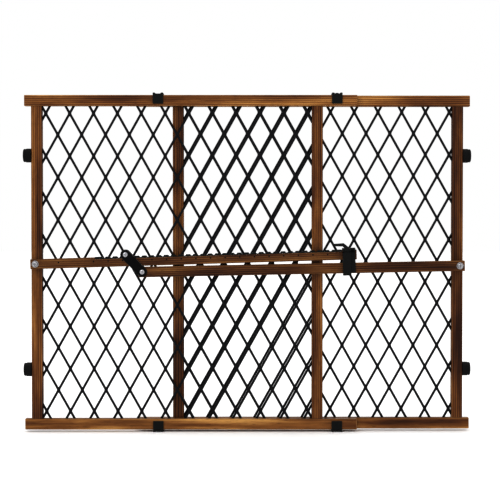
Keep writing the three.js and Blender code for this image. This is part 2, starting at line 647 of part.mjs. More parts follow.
const notchedGroup = new THREE.Group();
notchedGroup.position.set(BOLT_X, 0, NOTCHED_PIVOT_Z);
middle.add(notchedGroup);
const leftBolt = [
  ['notched_bar_bolt', barBolt(FRAME_THICKNESS)],
  ['notched_bar_washer', barWasher()],
  ['notched_bar_spacer', tube(SPACER_RADIUS, bore, BAR_BACK + FIT, -FIT, axisY)],
  ['notched_bar_nut', nut(FRAME_THICKNESS)],
];
for (const [name, geometry] of leftBolt) add(notchedGroup, name, geometry, steel);

const leverGroup = new THREE.Group();
leverGroup.position.set(-BOLT_X, 0, LEVER_PIVOT_Z);
middle.add(leverGroup);
const blockSide = [-SPACER_BLOCK / 2, SPACER_BLOCK / 2];
const rearFace = FRAME_THICKNESS + PANEL_GAP;
const spacerBlock = cut(
  block(blockSide, [BAR_BACK + FIT, rearFace - FIT], blockSide),
  rod(bore, BAR_BACK - 1, rearFace + 1, axisY, 16),
);
add(leverGroup, 'lever_bolt', barBolt(DEPTH), steel);
add(leverGroup, 'lever_washer', barWasher(), steel);
add(leverGroup, 'lever_spacer_block', spacerBlock, walnut);
add(leverGroup, 'lever_nut', nut(DEPTH), steel);

// Both bars rise to the right.
const notched = new THREE.Group();
notched.rotation.y = -NOTCHED_SLOPE;
notchedGroup.add(notched);
const lever = new THREE.Group();
lever.rotation.y = -LEVER_SLOPE;
leverGroup.add(lever);
gate.updateMatrixWorld(true);

const inNotched = (point) => notched.worldToLocal(lever.localToWorld(point));
const rivetPlace = inNotched(new THREE.Vector3(-LEVER_REACH, 0, 0));
const pinHeight = TOOTH_TIP + LINK_PIN_RADIUS + PIN_CLEARANCE;
const lean = Math.acos((pinHeight - rivetPlace.z) / LINK_LENGTH);
const pinPlace = rivetPlace.x - LINK_LENGTH * Math.sin(lean);
const latchMiddle = LATCH_START + HOOK_WIDTH / 2;
const leverX = lever.worldToLocal(notched.localToWorld(new THREE.Vector3(latchMiddle, 0, 0))).x;
const leverUnderside = inNotched(new THREE.Vector3(leverX, 0, -LEVER_HEIGHT / 2)).z;

add(notched, 'notched_bar', notchedBar(), barWood);
add(notched, 'notch_rack', notchRack(pinPlace), blackPlastic);
add(notched, 'latch_housing', latchHousing(leverUnderside), blackPlastic);
add(notched, 'latch_hinge_pin', hingePin(), steel);
add(notched, 'latch_spring', latchSpring(), steel);
housingScrewPlaces.forEach((x, i) => {
  add(notched, `housing_screw_${i + 1}`, housingScrew(x, 0), steel);
});
add(notched, 'latch_hook', latchHook(leverUnderside), blackPlastic);

add(lever, 'lever_bar', leverBar(), barWood);
const link = new THREE.Group();
link.position.x = -LEVER_REACH;
link.rotation.y = LEVER_SLOPE - NOTCHED_SLOPE - lean;
lever.add(link);
const frontStrap = [BAR_FRONT - FIT - LINK_STRAP, BAR_FRONT - FIT];
const rearStrap = [BAR_BACK + FIT, BAR_BACK + FIT + LINK_STRAP];
add(link, 'link_front_strap', linkStrap(...frontStrap), blackSteel);
add(link, 'link_rear_strap', linkStrap(...rearStrap), blackSteel);
add(link, 'link_rivet', linkRivet(LINK_RIVET_RADIUS), steel);
add(link, 'link_pin', linkRivet(LINK_PIN_RADIUS).translate(0, 0, LINK_LENGTH), steel);

export default gate;
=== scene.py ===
# %% [markdown]
# # An expanding safety gate
# Two walnut-stained frames, filled with black plastic mesh, slide past each other. A notched bar, a
# lever bar, a short link and a latch press their rubber feet against the sides of a doorway.
# The imported model gives every piece its size and place, so it is loaded first, and each visible
# piece is then made round it. Its own box is kept.

# %% Load the imported model
import json
import math
import random

import bmesh
import bpy
from mathutils import Matrix, Vector

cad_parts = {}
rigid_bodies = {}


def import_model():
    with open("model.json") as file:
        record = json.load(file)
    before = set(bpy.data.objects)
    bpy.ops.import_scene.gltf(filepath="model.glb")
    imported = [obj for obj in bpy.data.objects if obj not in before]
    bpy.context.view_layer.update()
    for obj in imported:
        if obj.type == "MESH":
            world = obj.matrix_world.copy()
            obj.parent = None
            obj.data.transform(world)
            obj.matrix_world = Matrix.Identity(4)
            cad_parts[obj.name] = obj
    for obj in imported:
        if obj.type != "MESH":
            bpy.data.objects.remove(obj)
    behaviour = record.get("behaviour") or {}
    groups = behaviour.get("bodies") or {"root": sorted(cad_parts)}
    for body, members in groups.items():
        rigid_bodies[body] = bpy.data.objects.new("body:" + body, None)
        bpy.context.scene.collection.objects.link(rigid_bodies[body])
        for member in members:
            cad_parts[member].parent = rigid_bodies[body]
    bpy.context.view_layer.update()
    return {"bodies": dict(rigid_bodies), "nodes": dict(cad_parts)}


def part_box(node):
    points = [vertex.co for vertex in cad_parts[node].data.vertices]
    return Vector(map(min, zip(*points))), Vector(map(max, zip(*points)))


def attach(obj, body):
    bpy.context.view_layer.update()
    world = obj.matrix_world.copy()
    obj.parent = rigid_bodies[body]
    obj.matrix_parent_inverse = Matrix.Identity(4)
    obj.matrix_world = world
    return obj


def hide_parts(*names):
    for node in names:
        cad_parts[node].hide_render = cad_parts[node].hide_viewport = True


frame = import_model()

scene = bpy.context.scene
MM = 0.001

# %% [markdown]
# ## Camera
# The gate is seen nearly square on, from two and a half metres away and a hand's breadth above its
# middle. From that far the lines stay almost parallel. The lens follows from how wide a strip of the
# front frame's plane fits in the view, which is easier to measure than an angle.

# %% Camera
VIEW_DISTANCE = 2.5
VIEW_RISE = math.radians(1.4)
VIEW_WIDTH = 0.872
LOOK_X, LOOK_Z = 0.0042, 0.3182
SENSOR = 36.0

front_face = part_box("front_top_rail")[0].y
look_at = Vector((LOOK_X, front_face, LOOK_Z))
away = Vector((0, -math.cos(VIEW_RISE), math.sin(VIEW_RISE)))
camera = bpy.data.objects.new("camera", bpy.data.cameras.new("camera"))
camera.data.sensor_width = SENSOR
camera.data.lens = SENSOR * VIEW_DISTANCE / VIEW_WIDTH
camera.location = look_at + VIEW_DISTANCE * away
camera.rotation_euler = away.to_track_quat("Z", "Y").to_euler()
scene.collection.objects.link(camera)
scene.camera = camera
print("lens", round(camera.data.lens, 1), "mm")

# %% [markdown]
# ## Nodes from code
# Both shader trees and Geometry Nodes trees are made of nodes and links. Three small helpers keep the
# code short: one adds a node and fills or joins its sockets, one does a sum, and one opens a group
# with named sockets.

# %% Node helpers
def place(tree, kind, inputs=None, **settings):
    """Adds a node, sets its options, and fills or joins its inputs."""
    node = tree.nodes.new(kind)
    for option, value in settings.items():
        setattr(node, option, value)
    for socket, value in (inputs or {}).items():
        if isinstance(value, bpy.types.NodeSocket):
            tree.links.new(value, node.inputs[socket])
        else:
            node.inputs[socket].default_value = value
    return node


def calc(tree, operation, *values, clamp=False):
    """One sum on numbers or sockets; returns its result."""
    given = dict(enumerate(values))
    made = place(tree, "ShaderNodeMath", given, operation=operation, use_clamp=clamp)
    return made.outputs[0]


def open_group(name, kind, takes, gives):
    """A node group with named sockets; returns its tree, its inputs and its outlet."""
    tree = bpy.data.node_groups.new(name, kind)
    for label, (socket_type, default) in takes.items():
        socket = tree.interface.new_socket(label, in_out="INPUT", socket_type=socket_type)
        if default is not None:
            socket.default_value = default
    for label, socket_type in gives.items():
        tree.interface.new_socket(label, in_out="OUTPUT", socket_type=socket_type)
    return tree, tree.nodes.new("NodeGroupInput").outputs, tree.nodes.new("NodeGroupOutput").inputs


NUMBER, VECTOR = "NodeSocketFloat", "NodeSocketVector"
GEOMETRY, OBJECT, FINISH = "NodeSocketGeometry", "NodeSocketObject", "NodeSocketMaterial"


def stretched(tree, vector, along, across):
    """The same place measured with one scale along a board and another across it."""
    return place(
        tree, "ShaderNodeVectorMath", {0: vector, 1: (along, across, across)}, operation="MULTIPLY"
    ).outputs[0]


def noise(tree, vector, scale, detail=3.0, rough=0.55):
    """Soft random spots, from 0 to 1."""
    settings = {"Vector": vector, "Scale": scale, "Detail": detail, "Roughness": rough}
    return place(tree, "ShaderNodeTexNoise", settings).outputs["Fac"]


def between(tree, value, low, high, to_low=0.0, to_high=1.0):
    """Stretches a part of a value's range, and holds it at the ends."""
    settings = {0: value, 1: low, 2: high, 3: to_low, 4: to_high}
    return place(tree, "ShaderNodeMapRange", settings).outputs[0]

# %% [markdown]
# ## Grain
# A board is sawn from a log, so its faces show growth rings cut lengthwise: long, nearly straight
# streaks a few millimetres apart, with fine fibres and short dark pores between them. Each board
# keeps its own coordinates in an attribute called board, in metres, with x along the grain. The
# rings are circles about an axis beside the board, bent a little by slow noise, so the ends of the
# board show arcs with no further work.

# %% Grain group
DARKEST, LIGHTEST = 0.57, 1.23

grain_group, given, outlet = open_group(
    "Sawn grain",
    "ShaderNodeTree",
    {"Board": (VECTOR, None), "Ring pitch": (NUMBER, 0.0036), "Bend": (NUMBER, 0.006)},
    {"Tone": NUMBER, "Pores": NUMBER, "Fibre": NUMBER},
)
t = grain_group
slow = noise(t, stretched(t, given["Board"], 3.0, 30.0), 1.0, 2.0)
bend = calc(t, "MULTIPLY", calc(t, "SUBTRACT", slow, 0.5), given["Bend"])
parts = place(t, "ShaderNodeSeparateXYZ", {0: given["Board"]}).outputs
from_heart = calc(
    t, "SQRT",
    calc(t, "ADD", calc(t, "POWER", parts["Y"], 2.0), calc(t, "POWER", parts["Z"], 2.0)),
)
ring = calc(t, "DIVIDE", calc(t, "ADD", from_heart, bend), given["Ring pitch"])
late_wood = calc(t, "PINGPONG", ring, 0.5)
late_wood = between(t, late_wood, 0.08, 0.5)
fibre = noise(t, stretched(t, given["Board"], 22.0, 1500.0), 1.0, 4.0, 0.6)
streak = noise(t, stretched(t, given["Board"], 4.0, 260.0), 1.0, 3.0)
cloud = noise(t, stretched(t, given["Board"], 5.0, 45.0), 1.0, 3.0)
tone = cloud
for part, share in ((late_wood, 0.18), (streak, 0.4), (fibre, 0.2)):
    tone = calc(t, "ADD", tone, calc(t, "MULTIPLY", part, share))
pore = noise(t, stretched(t, given["Board"], 75.0, 2600.0), 1.0, 2.0, 0.4)
t.links.new(between(t, tone, DARKEST, LIGHTEST), outlet["Tone"])
t.links.new(between(t, pore, 0.61, 0.7), outlet["Pores"])
t.links.new(fibre, outlet["Fibre"])
print("grain group", len(t.nodes), "nodes")

# %% [markdown]
# ## Worn edges
# Handling rubs the finish thin on the rounded edges and nowhere else. The mesh code marks those
# vertices with an attribute called rubbed, and this group breaks the mark up with noise, so that an
# edge is worn in patches. Wood, painted steel and plastic all use it with their own strengths; on
# black plastic it also places a painted highlight on the edge crests.

# %% Worn edge group
wear_group, given, outlet = open_group(
    "Worn edges",
    "ShaderNodeTree",
    {"Vector": (VECTOR, None), "Patch": (NUMBER, 60.0), "Amount": (NUMBER, 0.5)},
    {"Mask": NUMBER},
)
t = wear_group
rubbed = place(t, "ShaderNodeAttribute", attribute_name="rubbed").outputs["Fac"]
patch = between(t, noise(t, given["Vector"], given["Patch"], 5.0, 0.65), 0.42, 0.62)
mask = calc(t, "MULTIPLY", calc(t, "MULTIPLY", rubbed, patch), given["Amount"], clamp=True)
t.links.new(mask, outlet["Mask"])
print("wear group", len(t.nodes), "nodes")

# %% [markdown]
# ## Dust and handling
# Dust settles where a surface faces up, and hands leave slightly shinier and duller patches
# everywhere. The first output is a mask for pale dust. The second is a slow variation for roughness.

# %% Dust group
dust_group, given, outlet = open_group(
    "Dust and handling",
    "ShaderNodeTree",
    {"Vector": (VECTOR, None), "Dust": (NUMBER, 0.3), "Smear": (NUMBER, 0.12)},
    {"Mask": NUMBER, "Smear": NUMBER},
)
t = dust_group
facing = place(t, "ShaderNodeNewGeometry").outputs["Normal"]
upward = between(t, place(t, "ShaderNodeSeparateXYZ", {0: facing}).outputs["Z"], 0.5, 1.0)
speck = between(t, noise(t, given["Vector"], 240.0, 4.0, 0.7), 0.35, 0.75)
dust = calc(t, "MULTIPLY", calc(t, "MULTIPLY", upward, speck), given["Dust"], clamp=True)
smear = calc(t, "SUBTRACT", noise(t, given["Vector"], 35.0, 3.0), 0.5)
t.links.new(dust, outlet["Mask"])
t.links.new(calc(t, "MULTIPLY", smear, given["Smear"]), outlet["Smear"])
print("dust group", len(t.nodes), "nodes")

# %% [markdown]
# ## Moulded skin
# A moulded part copies the fine sparked texture of its steel mould: shallow dimples, a few tenths
# of a millimetre apart. Rubber and paint have their own, coarser or smoother, so the pitch is a
# named input.

# %% Moulded skin group
skin_group, given, outlet = open_group(
    "Moulded skin",
    "ShaderNodeTree",
    {"Vector": (VECTOR, None), "Pitch": (NUMBER, 0.0005)},
    {"Height": NUMBER},
)
t = skin_group
per_metre = calc(t, "DIVIDE", 1.0, given["Pitch"])
dimple = place(t, "ShaderNodeTexVoronoi", {"Vector": given["Vector"], "Scale": per_metre})
ripple = noise(t, given["Vector"], per_metre, 3.0)
height = calc(t, "ADD", dimple.outputs["Distance"], calc(t, "MULTIPLY", ripple, 0.6))
t.links.new(height, outlet["Height"])
print("skin group", len(t.nodes), "nodes")

# %% [markdown]
# ## Materials
# Every material is one Principled BSDF. What is the same all over, such as metalness or the index
# of refraction, is set on its sockets. What changes over the surface comes from the groups above.

# %% Material helpers
def open_material(name, **constants):
    """A material with its Principled BSDF; constants are set on the shader's own sockets."""
    material = bpy.data.materials.new(name)
    material.use_nodes = True
    shader = material.node_tree.nodes["Principled BSDF"]
    for socket, value in constants.items():
        shader.inputs[socket.replace("_", " ")].default_value = value
    return material, material.node_tree, shader


def use_group(tree, group, **inputs):
    """Places a shared group in a material and fills its inputs."""
    node = tree.nodes.new("ShaderNodeGroup")
    node.node_tree = group
    for label, value in inputs.items():
        socket = node.inputs[label.replace("_", " ")]
        if isinstance(value, bpy.types.NodeSocket):
            tree.links.new(value, socket)
        else:
            socket.default_value = value
    return node.outputs


def mixed(tree, factor, first, second):
    """Mixes two colours."""
    node = place(tree, "ShaderNodeMix", {"Factor": factor}, data_type="RGBA")
    for socket, value in ((node.inputs[6], first), (node.inputs[7], second)):
        if isinstance(value, bpy.types.NodeSocket):
            tree.links.new(value, socket)
        else:
            socket.default_value = (*value, 1.0)
    return node.outputs[2]


def ramp(tree, factor, stops):
    """A colour ramp from (place, colour) pairs."""
    node = place(tree, "ShaderNodeValToRGB", {0: factor})
    band = node.color_ramp.elements
    while len(band) < len(stops):
        band.new(0.5)
    for element, (where, colour) in zip(band, stops):
        element.position = where
        element.color = (*colour, 1.0)
    return node.outputs[0]


def raise_bump(tree, shader, height, distance, strength=1.0):
    """Joins a height to the shader's normal through a Bump node."""
    settings = {"Height": height, "Distance": distance, "Strength": strength}
    bump = place(tree, "ShaderNodeBump", settings)
    tree.links.new(bump.outputs[0], shader.inputs["Normal"])

# %% [markdown]
# ### Walnut stain
# The gate is softwood or beech under a dark walnut stain, with a satin lacquer. The stain goes
# deeper into the early wood and the pores, so the grain reads as dark streaks on red-brown. Each
# board also has a tone of its own, from very dark to almost orange, kept in an attribute.

# %% Walnut material
DUST_COLOUR = (0.42, 0.38, 0.33)


def walnut(name, stops, bare):
    """Stained, lacquered wood; stops are its colours from dark to light, bare is worn wood."""
    material, tree, shader = open_material(
        name, Specular_IOR_Level=0.18, Coat_Weight=0.06, Coat_Roughness=0.24
    )
    board = place(tree, "ShaderNodeAttribute", attribute_name="board").outputs["Vector"]
    own = place(tree, "ShaderNodeAttribute", attribute_name="tone").outputs["Fac"]
    grain = use_group(tree, grain_group, Board=board)
    wear = use_group(tree, wear_group, Vector=board, Patch=45.0, Amount=0.35)
    dust = use_group(tree, dust_group, Vector=board, Dust=0.07, Smear=0.14)
    tone = calc(tree, "ADD", grain["Tone"], own, clamp=True)
    colour = ramp(tree, tone, stops)
    colour = mixed(tree, calc(tree, "MULTIPLY", grain["Pores"], 0.7), colour, stops[0][1])
    colour = mixed(tree, wear["Mask"], colour, bare)
    colour = mixed(tree, dust["Mask"], colour, DUST_COLOUR)
    tree.links.new(colour, shader.inputs["Base Color"])
    rough = calc(tree, "ADD", 0.4, calc(tree, "MULTIPLY", grain["Pores"], 0.25))
    rough = calc(tree, "ADD", rough, dust["Smear"])
    rough = calc(tree, "ADD", rough, calc(tree, "MULTIPLY", wear["Mask"], 0.2))
    tree.links.new(rough, shader.inputs["Roughness"])
    height = calc(tree, "SUBTRACT", grain["Fibre"], calc(tree, "MULTIPLY", grain["Pores"], 0.8))
    raise_bump(tree, shader, height, 0.00012, 0.7)
    return material


frame_walnut = walnut(
    "walnut_frame",
    ((0.06, (0.035, 0.011, 0.005)), (0.34, (0.122, 0.045, 0.013)),
     (0.62, (0.265, 0.121, 0.035)), (0.95, (0.55, 0.317, 0.11))),
    bare=(0.53, 0.356, 0.177),
)
bar_walnut = walnut(
    "walnut_bars",
    ((0.06, (0.023, 0.007, 0.004)), (0.34, (0.08, 0.029, 0.009)),
     (0.62, (0.18, 0.083, 0.025)), (0.95, (0.399, 0.227, 0.076))),
    bare=(0.38, 0.244, 0.117),
)
print("walnuts", frame_walnut.name, bar_walnut.name)

# %% [markdown]
# ### Black mouldings and rubber
# The mesh, clips, rack and latch are black, but never flat black: the skin scatters a little light,
# rounded edges are polished by handling to a lower roughness, their crests are painted a lighter
# grey that is partly scuffing and partly a painted highlight, and dust greys whatever faces up. The
# feet are softer and duller rubber.

# %% Black plastics and rubber
# Lighter grey for the crests of rounded edges: partly scuffing, partly a painted highlight.
EDGE_SCUFF_AND_SHEEN = (0.06, 0.06, 0.062)
LIGHTER = 1.9


def moulding(name, colour, rough, pitch, depth, dust, level):
    """A black moulded finish with its own skin, edge polish with a painted highlight on the crests,
    and dust.
    """
    material, tree, shader = open_material(name, Specular_IOR_Level=level)
    here = place(tree, "ShaderNodeTexCoord").outputs["Object"]
    skin = use_group(tree, skin_group, Vector=here, Pitch=pitch)
    wear = use_group(tree, wear_group, Vector=here, Patch=120.0, Amount=0.45)
    settled = use_group(tree, dust_group, Vector=here, Dust=dust, Smear=0.16)
    shade = noise(tree, here, 18.0, 3.0)
    base = mixed(tree, shade, colour, tuple(part * LIGHTER for part in colour))
    # Painted highlight: the crests of rounded edges are mixed towards a lighter grey, partly scuffing
    # and partly standing in for the edge's highlight.
    base = mixed(tree, wear["Mask"], base, EDGE_SCUFF_AND_SHEEN)
    base = mixed(tree, settled["Mask"], base, DUST_COLOUR)
    tree.links.new(base, shader.inputs["Base Color"])
    shine = calc(tree, "ADD", rough, settled["Smear"])
    shine = calc(tree, "SUBTRACT", shine, calc(tree, "MULTIPLY", wear["Mask"], 0.2))
    tree.links.new(shine, shader.inputs["Roughness"])
    raise_bump(tree, shader, skin["Height"], depth, 0.6)
    return material


mesh_plastic = moulding(
    "mesh_plastic", (0.003, 0.0033, 0.0045),
    rough=0.42, pitch=0.0006, depth=0.00003, dust=0.03, level=0.22,
)
black_plastic = moulding(
    "black_plastic", (0.005, 0.0056, 0.0054),
    rough=0.5, pitch=0.0005, depth=0.00006, dust=0.04, level=0.2,
)
foot_rubber = moulding(
    "foot_rubber", (0.005, 0.0049, 0.0049),
    rough=0.78, pitch=0.0009, depth=0.00008, dust=0.08, level=0.25,
)
print("mouldings", mesh_plastic.name, black_plastic.name, foot_rubber.name)

# %% [markdown]
# ### Steel
# The link is blackened steel, worn to bright metal along its edges. The bolts, rivets and screws
# are zinc plated: bright, slightly blue, with a faint crystal pattern and fine turning marks.

# %% Steels
def blackened_steel():
    """Black oxide that wears through to bare steel on the edges."""
    material, tree, shader = open_material("black_steel", Specular_IOR_Level=0.12)
    here = place(tree, "ShaderNodeTexCoord").outputs["Object"]
    wear = use_group(tree, wear_group, Vector=here, Patch=260.0, Amount=0.6)
    settled = use_group(tree, dust_group, Vector=here, Dust=0.05, Smear=0.15)
    skin = use_group(tree, skin_group, Vector=here, Pitch=0.0011)
    shade = noise(tree, here, 90.0, 4.0)
    base = mixed(tree, shade, (0.002, 0.002, 0.0023), (0.006, 0.006, 0.007))
    base = mixed(tree, wear["Mask"], base, (0.3, 0.29, 0.28))
    base = mixed(tree, settled["Mask"], base, DUST_COLOUR)
    tree.links.new(base, shader.inputs["Base Color"])
    tree.links.new(calc(tree, "MULTIPLY", wear["Mask"], 0.9), shader.inputs["Metallic"])
    tree.links.new(calc(tree, "ADD", 0.36, settled["Smear"]), shader.inputs["Roughness"])
    raise_bump(tree, shader, skin["Height"], 0.00003, 0.5)
    return material


def zinc_plate():
    """Bright zinc plate with a crystal pattern and turning marks."""
    material, tree, shader = open_material("zinc_steel", Metallic=1.0)
    here = place(tree, "ShaderNodeTexCoord").outputs["Object"]
    settled = use_group(tree, dust_group, Vector=here, Dust=0.08, Smear=0.2)
    crystal = place(tree, "ShaderNodeTexVoronoi", {"Vector": here, "Scale": 900.0})
    mark = noise(tree, here, 1400.0, 2.0)
    shade = calc(tree, "ADD", calc(tree, "MULTIPLY", crystal.outputs["Distance"], 0.5),
                 calc(tree, "MULTIPLY", mark, 0.5))
    base = ramp(tree, shade, ((0.1, (0.22, 0.22, 0.235)), (0.5, (0.4, 0.4, 0.42)),
                              (0.9, (0.6, 0.6, 0.61))))
    base = mixed(tree, settled["Mask"], base, DUST_COLOUR)
    tree.links.new(base, shader.inputs["Base Color"])
    rough = calc(tree, "ADD", between(tree, shade, 0.1, 0.9, 0.2, 0.36), settled["Smear"])
    tree.links.new(rough, shader.inputs["Roughness"])
    raise_bump(tree, shader, mark, 0.00002, 0.5)
    return material


black_steel = blackened_steel()
zinc_steel = zinc_plate()
FINISHES = {
    "walnut_frame": frame_walnut, "walnut_bars": bar_walnut, "mesh_plastic": mesh_plastic,
    "black_plastic": black_plastic, "foot_rubber": foot_rubber, "black_steel": black_steel,
    "zinc_steel": zinc_steel,
}
print("materials", sorted(FINISHES))

# %% [markdown]
# ## From a mesh to a piece
# Each piece ends the same way. Its faces are smooth-shaded, edges that are really sharp are marked,
# and a Weighted Normal modifier lets the large flat faces set the shading, so that a rounded edge
# shows a clean highlight. Then the piece rides on its body, takes its slot, and stands for its
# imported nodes.

# %% Piece helpers
SHARP = math.radians(42)


def finished(mesh, name, body, slot, nodes, sharp=SHARP):
    """Makes a mesh into a named piece on a body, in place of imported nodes."""
    mesh.name = name
    mesh.polygons.foreach_set("use_smooth", [True] * len(mesh.polygons))
    mesh.set_sharp_from_angle(angle=sharp)
    mesh.materials.clear()
    mesh.materials.append(FINISHES[slot])
    piece = bpy.data.objects.new(name, mesh)
    scene.collection.objects.link(piece)
    even = piece.modifiers.new("Even faces", "WEIGHTED_NORMAL")
    even.keep_sharp = True
    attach(piece, body)
    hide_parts(*nodes)
    return piece


def as_mesh(shape, name="shape"):
    """Turns a bmesh into mesh data, and frees it."""
    mesh = bpy.data.meshes.new(name)
    shape.to_mesh(mesh)
    shape.free()
    return mesh


def middle_of(node):
    """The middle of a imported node's box."""
    low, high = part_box(node)
    return (low + high) / 2


def body_of(node):
    """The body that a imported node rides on."""
    carrier = frame["nodes"][node].parent
    return next(name for name, empty in frame["bodies"].items() if empty == carrier)

# %% [markdown]
# ## Boards
# A board is a long block with its long edges rounded over by a router or sandpaper. The packed
# nodes already have the mesh groove, the tenons and the screw holes, so each board starts as a
# welded copy of its node. Only the edges of its outer block are rounded: the groove and the joints
# stay sharp, as a saw leaves them. The two bars lean a little, so they are worked on lying level,
# and leaned back at the end.

# %% Welded copies
WELD = 0.001 * MM
FLAT = math.radians(0.5)


def welded(node):
    """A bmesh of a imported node, with its loose triangles welded and flat faces made whole."""
    shape = bmesh.new()
    shape.from_mesh(frame["nodes"][node].data)
    shape.transform(frame["nodes"][node].matrix_world)
    bmesh.ops.remove_doubles(shape, verts=shape.verts, dist=WELD)
    bmesh.ops.dissolve_limit(shape, angle_limit=FLAT, verts=shape.verts, edges=shape.edges)
    return shape


def lean_of(shape):
    """How far a board leans from level or upright, from its longest edge."""
    longest = max(shape.edges, key=lambda edge: edge.calc_length())
    run = longest.verts[1].co - longest.verts[0].co
    angle = math.atan2(run.z, run.x)
    quarter = math.pi / 2
    return angle - quarter * round(angle / quarter)

# %% [markdown]
# ### Rounding over
# An edge belongs to the outer block when both its ends lie on two faces of the block's box. Those
# edges are bevelled. A vertex that has only new faces round it is on the crest of the rounding,
# where hands and sleeves rub, so it is marked for the worn-edge group.

# %% Rounding over
ON_FACE = 0.02 * MM


def block_edges(shape, shortest):
    """The edges of a shape that lie on its outer block."""
    spots = [vertex.co for vertex in shape.verts]
    low = [min(spot[i] for spot in spots) for i in range(3)]
    high = [max(spot[i] for spot in spots) for i in range(3)]

    def faces_under(edge):
        ends = [vertex.co for vertex in edge.verts]
        return sum(
            all(abs(end[i] - limit[i]) < ON_FACE for end in ends)
            for i in range(3) for limit in (low, high)
        )

    return [e for e in shape.edges if faces_under(e) == 2 and e.calc_length() > shortest]


def round_off(shape, edges, width, segments):
    """Rounds edges over, and marks the crest of each rounding as rubbed."""
    made = bmesh.ops.bevel(
        shape, geom=edges, offset=width, offset_type="OFFSET", segments=segments, profile=0.5,
        affect="EDGES", clamp_overlap=True,
    )
    rounded = set(made["faces"])
    layer = shape.verts.layers.float.get("rubbed") or shape.verts.layers.float.new("rubbed")
    for vertex in {v for face in rounded for v in face.verts}:
        if all(face in rounded for face in vertex.link_faces):
            vertex[layer] = 1.0

# %% [markdown]
# ### Grain in each board
# Every board is cut from a different place in the log, so a few random numbers with a fixed seed say
# where. The grain always runs along the board, which is up in a stile and sideways in a rail.

# %% One board
ROUND_OVER = 1.2 * MM
SLIM_ROUND_OVER = 0.8 * MM
LONG_EDGE = 9 * MM
HEART_OFFSET = 0.05

random.seed(23)


def lay_grain(mesh, upright, lean_back, tone):
    """Stores each vertex's place in the board, with x along the grain, and the board's tone."""
    heart = Vector((random.uniform(-3, 3), HEART_OFFSET + random.uniform(0, 0.02),
                    HEART_OFFSET * random.uniform(-0.4, 0.4)))
    places = []
    for vertex in mesh.vertices:
        spot = lean_back @ vertex.co
        along, across = (spot.z, spot.x) if upright else (spot.x, spot.z)
        places.extend(Vector((along, spot.y, across)) + heart)
    mesh.attributes.new("board", "FLOAT_VECTOR", "POINT").data.foreach_set("vector", places)
    tones = [tone] * len(mesh.vertices)
    mesh.attributes.new("tone", "FLOAT", "POINT").data.foreach_set("value", tones)


def board(node, slot, tone, round_over=ROUND_OVER, upright=False):
    """One board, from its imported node; returns the piece and how far it leans."""
    shape = welded(node)
    lean = lean_of(shape)
    level = Matrix.Rotation(lean, 4, "Y")
    shape.transform(level)
    round_off(shape, block_edges(shape, LONG_EDGE), round_over, 4)
    shape.transform(level.inverted())
    mesh = as_mesh(shape)
    lay_grain(mesh, upright, level, tone)
    piece = finished(mesh, f"{node}_board", body_of(node), slot, [node])
    return piece, lean

# %% [markdown]
# ### All the boards
# The stain takes differently on every board, so each gets a tone: above zero is lighter, below zero
# is darker. The stiles took more stain than the rails.

# %% All the boards
tones = {
    "front_top_rail": 0.0, "front_bottom_rail": 0.08, "rear_top_rail": 0.04,
    "rear_bottom_rail": -0.01, "front_outer_stile": -0.15, "front_inner_stile": -0.12,
    "rear_outer_stile": -0.14, "rear_inner_stile": -0.13,
}
for node, tone in tones.items():
    piece, _ = board(node, "walnut_frame", tone, upright=node.endswith("stile"))
print("frame boards", len(tones), "- last has", len(piece.data.polygons), "faces")

board("lever_spacer_block", "walnut_frame", -0.04, SLIM_ROUND_OVER)
_, notched_lean = board("notched_bar", "walnut_bars", -0.05, SLIM_ROUND_OVER)
_, lever_lean = board("lever_bar", "walnut_bars", -0.02, SLIM_ROUND_OVER)
print("bars lean", [round(math.degrees(a), 2) for a in (notched_lean, lever_lean)], "degrees")

# %% [markdown]
# ## Turned pieces
# Bolts, rivets, washers, screws and rubber feet are turned: each is a profile spun about an axis. A
# profile here is a list of radius and height pairs from one pole to the other, and a radius of zero
# closes the shape with one vertex, so no pole is left open. Templates stand on the Z axis, and are
# then turned onto their own axis.

# %% Turning
def spun(profile, segments=40):
    """A closed turned shape about Z from (radius, height) pairs, in millimetres."""
    shape = bmesh.new()
    rings = []
    for radius, height in profile:
        if radius == 0:
            rings.append([shape.verts.new((0, 0, height * MM))])
            continue
        rings.append([
            shape.verts.new((radius * MM * math.cos(a), radius * MM * math.sin(a), height * MM))
            for a in (2 * math.pi * i / segments for i in range(segments))
        ])
    closed_ring = profile[0] == profile[-1] and profile[0][0] != 0
    if closed_ring:
        for vertex in rings.pop():
            shape.verts.remove(vertex)
    pairs = list(zip(rings, rings[1:]))
    if closed_ring:
        pairs.append((rings[-1], rings[0]))
    for lower, upper in pairs:
        for i in range(segments):
            j = (i + 1) % segments
            corners = [lower[i % len(lower)], lower[j % len(lower)], upper[j % len(upper)],
                       upper[i % len(upper)]]
            shape.faces.new(list(dict.fromkeys(corners)))
    bmesh.ops.recalc_face_normals(shape, faces=shape.faces)
    return shape


def rounded_corner(corner, radius, height, up=1, steps=4):
    """A quarter-round outer corner in a profile: the upper one, or the lower where up is -1."""
    turns = [math.pi / 2 * i / steps for i in range(steps + 1)]
    return [
        (radius - corner + corner * math.cos(turn),
         height - up * corner + up * corner * math.sin(turn))
        for turn in turns[::up]
    ]


def stood(mesh, spot, up):
    """Turns a template's Z onto a direction, and moves it to its place."""
    turn = Vector(up).to_track_quat("Z", "Y").to_matrix().to_4x4()
    mesh.transform(Matrix.Translation(spot) @ turn)
    return mesh

# %% [markdown]
# ### Cross recess
# A driver's cross recess is cut with a Boolean modifier. The tool is one outline of twelve corners,
# drawn out to a narrower foot. Two crossed blocks would look the same, but they run through each
# other, and a Boolean needs a tool that doesn't.

# %% Cross recess
FOOT_TAPER = 0.5


